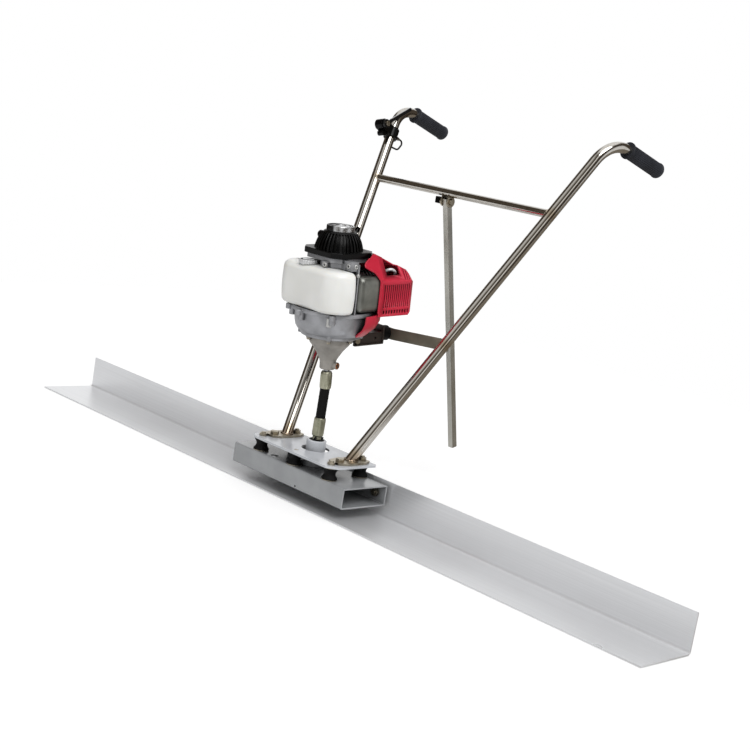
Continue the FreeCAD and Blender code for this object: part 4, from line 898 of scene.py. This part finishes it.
def floor():
    """A plain pale floor; what polished metal mirrors of its rear half is darker."""
    mesh = bpy.data.meshes.new("floor")
    corners = [(x * FLOOR_REACH, y * FLOOR_REACH, 0) for x, y in ((-1, -1), (1, -1), (1, 1), (-1, 1))]
    mesh.from_pydata(corners, [], [(0, 1, 2, 3)])
    made, tree, shader = material("floor_paint", 0.0, Specular_IOR_Level=0.1, Emission_Strength=0.32)
    clouds = noise(tree, 0.4)
    path = add(tree, "LightPath").outputs
    pale = ramp(tree, clouds, ((0.0, 0.74), (1.0, 0.78)))
    dark = ramp(tree, clouds, ((0.0, (0.20, 0.175, 0.145)), (1.0, (0.24, 0.21, 0.17))))
    rear = add(tree, "VectorMath", {"operation": "DOT_PRODUCT", 1: (0.4, 0.6, 0)}, {0: coordinates(tree)})
    mirrored_floor = mixed(tree, ramp(tree, rear.outputs["Value"], ((0.30, 0.0), (0.42, 1.0))), pale, dark)
    connect(tree, shader, Base_Color=mixed(tree, path["Is Glossy Ray"], pale, mirrored_floor),
            Roughness=ramp(tree, clouds, ((0.0, 0.8), (1.0, 0.9))), Emission_Color=path["Is Camera Ray"])
    mesh.materials.append(made)
    ground = bpy.data.objects.new("floor", mesh)
    ground.location.z = -FLOOR_DROP
    bpy.context.scene.collection.objects.link(ground)


def studio_panels(tree):
    """What polished metal mirrors: pale panels with dark gaps, a screen behind, and a pale ceiling."""
    deep, dark, middle = (0.04, 0.03, 0.022), (0.075, 0.06, 0.045), (0.24, 0.225, 0.20)
    view = add(tree, "TexCoord").outputs["Generated"]
    facing = add(tree, "VectorMath", {"operation": "DOT_PRODUCT", 1: (0.73, -0.68, 0)}, {0: view})
    behind = ramp(tree, facing.outputs["Value"], ((0.0, 1.0), (0.05, 0.0)))
    side = add(tree, "VectorMath", {"operation": "DOT_PRODUCT", 1: (-0.68, -0.73, 0)}, {0: view})
    halved = add(tree, "Math", {"operation": "MULTIPLY_ADD", 1: 0.5, 2: 0.5}, {0: side.outputs["Value"]})
    across = halved.outputs[0]
    panels = ramp(tree, across, ((0.05, 0.8), (0.10, deep), (0.32, dark), (0.39, 1.0), (0.47, 1.0),
                                 (0.53, deep), (0.62, dark), (0.72, middle), (0.84, 0.8), (0.93, 0.6),
                                 (0.97, dark)))
    screen = ramp(tree, across, ((0.24, dark), (0.32, 0.95), (0.62, 0.9), (0.70, dark)))
    height = add(tree, "SeparateXYZ", None, {0: view}).outputs["Z"]
    backdrop = mixed(tree, ramp(tree, height, ((0.03, 0.0), (0.08, 1.0))), deep, screen)
    ceiling = ramp(tree, height, ((0.7, 0.9), (1.0, 1.0)))
    return mixed(tree, ramp(tree, height, ((0.80, 0.0), (0.90, 1.0))), mixed(tree, behind, panels, backdrop),
                 ceiling)


def studio():
    """Even white light, panels for polished metal, a white backdrop and a soft sun."""
    world = bpy.data.worlds.new("studio")
    bpy.context.scene.world = world
    world.use_nodes = True
    tree = world.node_tree
    path = add(tree, "LightPath").outputs
    even = add(tree, "Background", {"Color": (1, 1, 1, 1), "Strength": 0.62}).outputs[0]
    white = add(tree, "Background", {"Color": (1, 1, 1, 1), "Strength": 1.0}).outputs[0]
    panels = add(tree, "Background", {"Strength": 1.0}, {"Color": studio_panels(tree)}).outputs[0]
    lit = add(tree, "MixShader", None, {0: path["Is Glossy Ray"], 1: even, 2: panels}).outputs[0]
    both = add(tree, "MixShader", None, {0: path["Is Camera Ray"], 1: lit, 2: white}).outputs[0]
    tree.links.new(both, tree.nodes["World Output"].inputs["Surface"])
    lamp = bpy.data.lights.new("sun", "SUN")
    lamp.energy = SUN_ENERGY
    lamp.angle = math.radians(SUN_SPREAD)
    made = bpy.data.objects.new("sun", lamp)
    made.rotation_euler = SUN_DIRECTION.to_track_quat("-Z", "Y").to_euler()
    bpy.context.scene.collection.objects.link(made)


def camera():
    """The photograph's viewing angle: front right, a little above, the machine leaning back."""
    lens = bpy.data.cameras.new("camera")
    lens.lens = CAMERA_LENS
    lens.clip_start = 0.05
    made = bpy.data.objects.new("camera", lens)
    aim = turned(CAMERA_HEADING, "Z") @ turned(CAMERA_TILT, "X") @ turned(CAMERA_ROLL, "Z")
    made.matrix_world = Matrix.Translation(CAMERA_PLACE) @ aim
    bpy.context.scene.collection.objects.link(made)
    bpy.context.scene.camera = made


bpy.context.scene.view_settings.view_transform = "Standard"
camera()
studio()
floor()
finish_cad_nodes()
weld_beads()
handle_grips()
throttle_details()
rubber_mounts()
hose_drive()
fuel_tank()
muffler()
engine_cover()
fan_case()
casting_bosses()
plug_lead()
boss_rim()
filler_cap()
starter()
starter_rope()
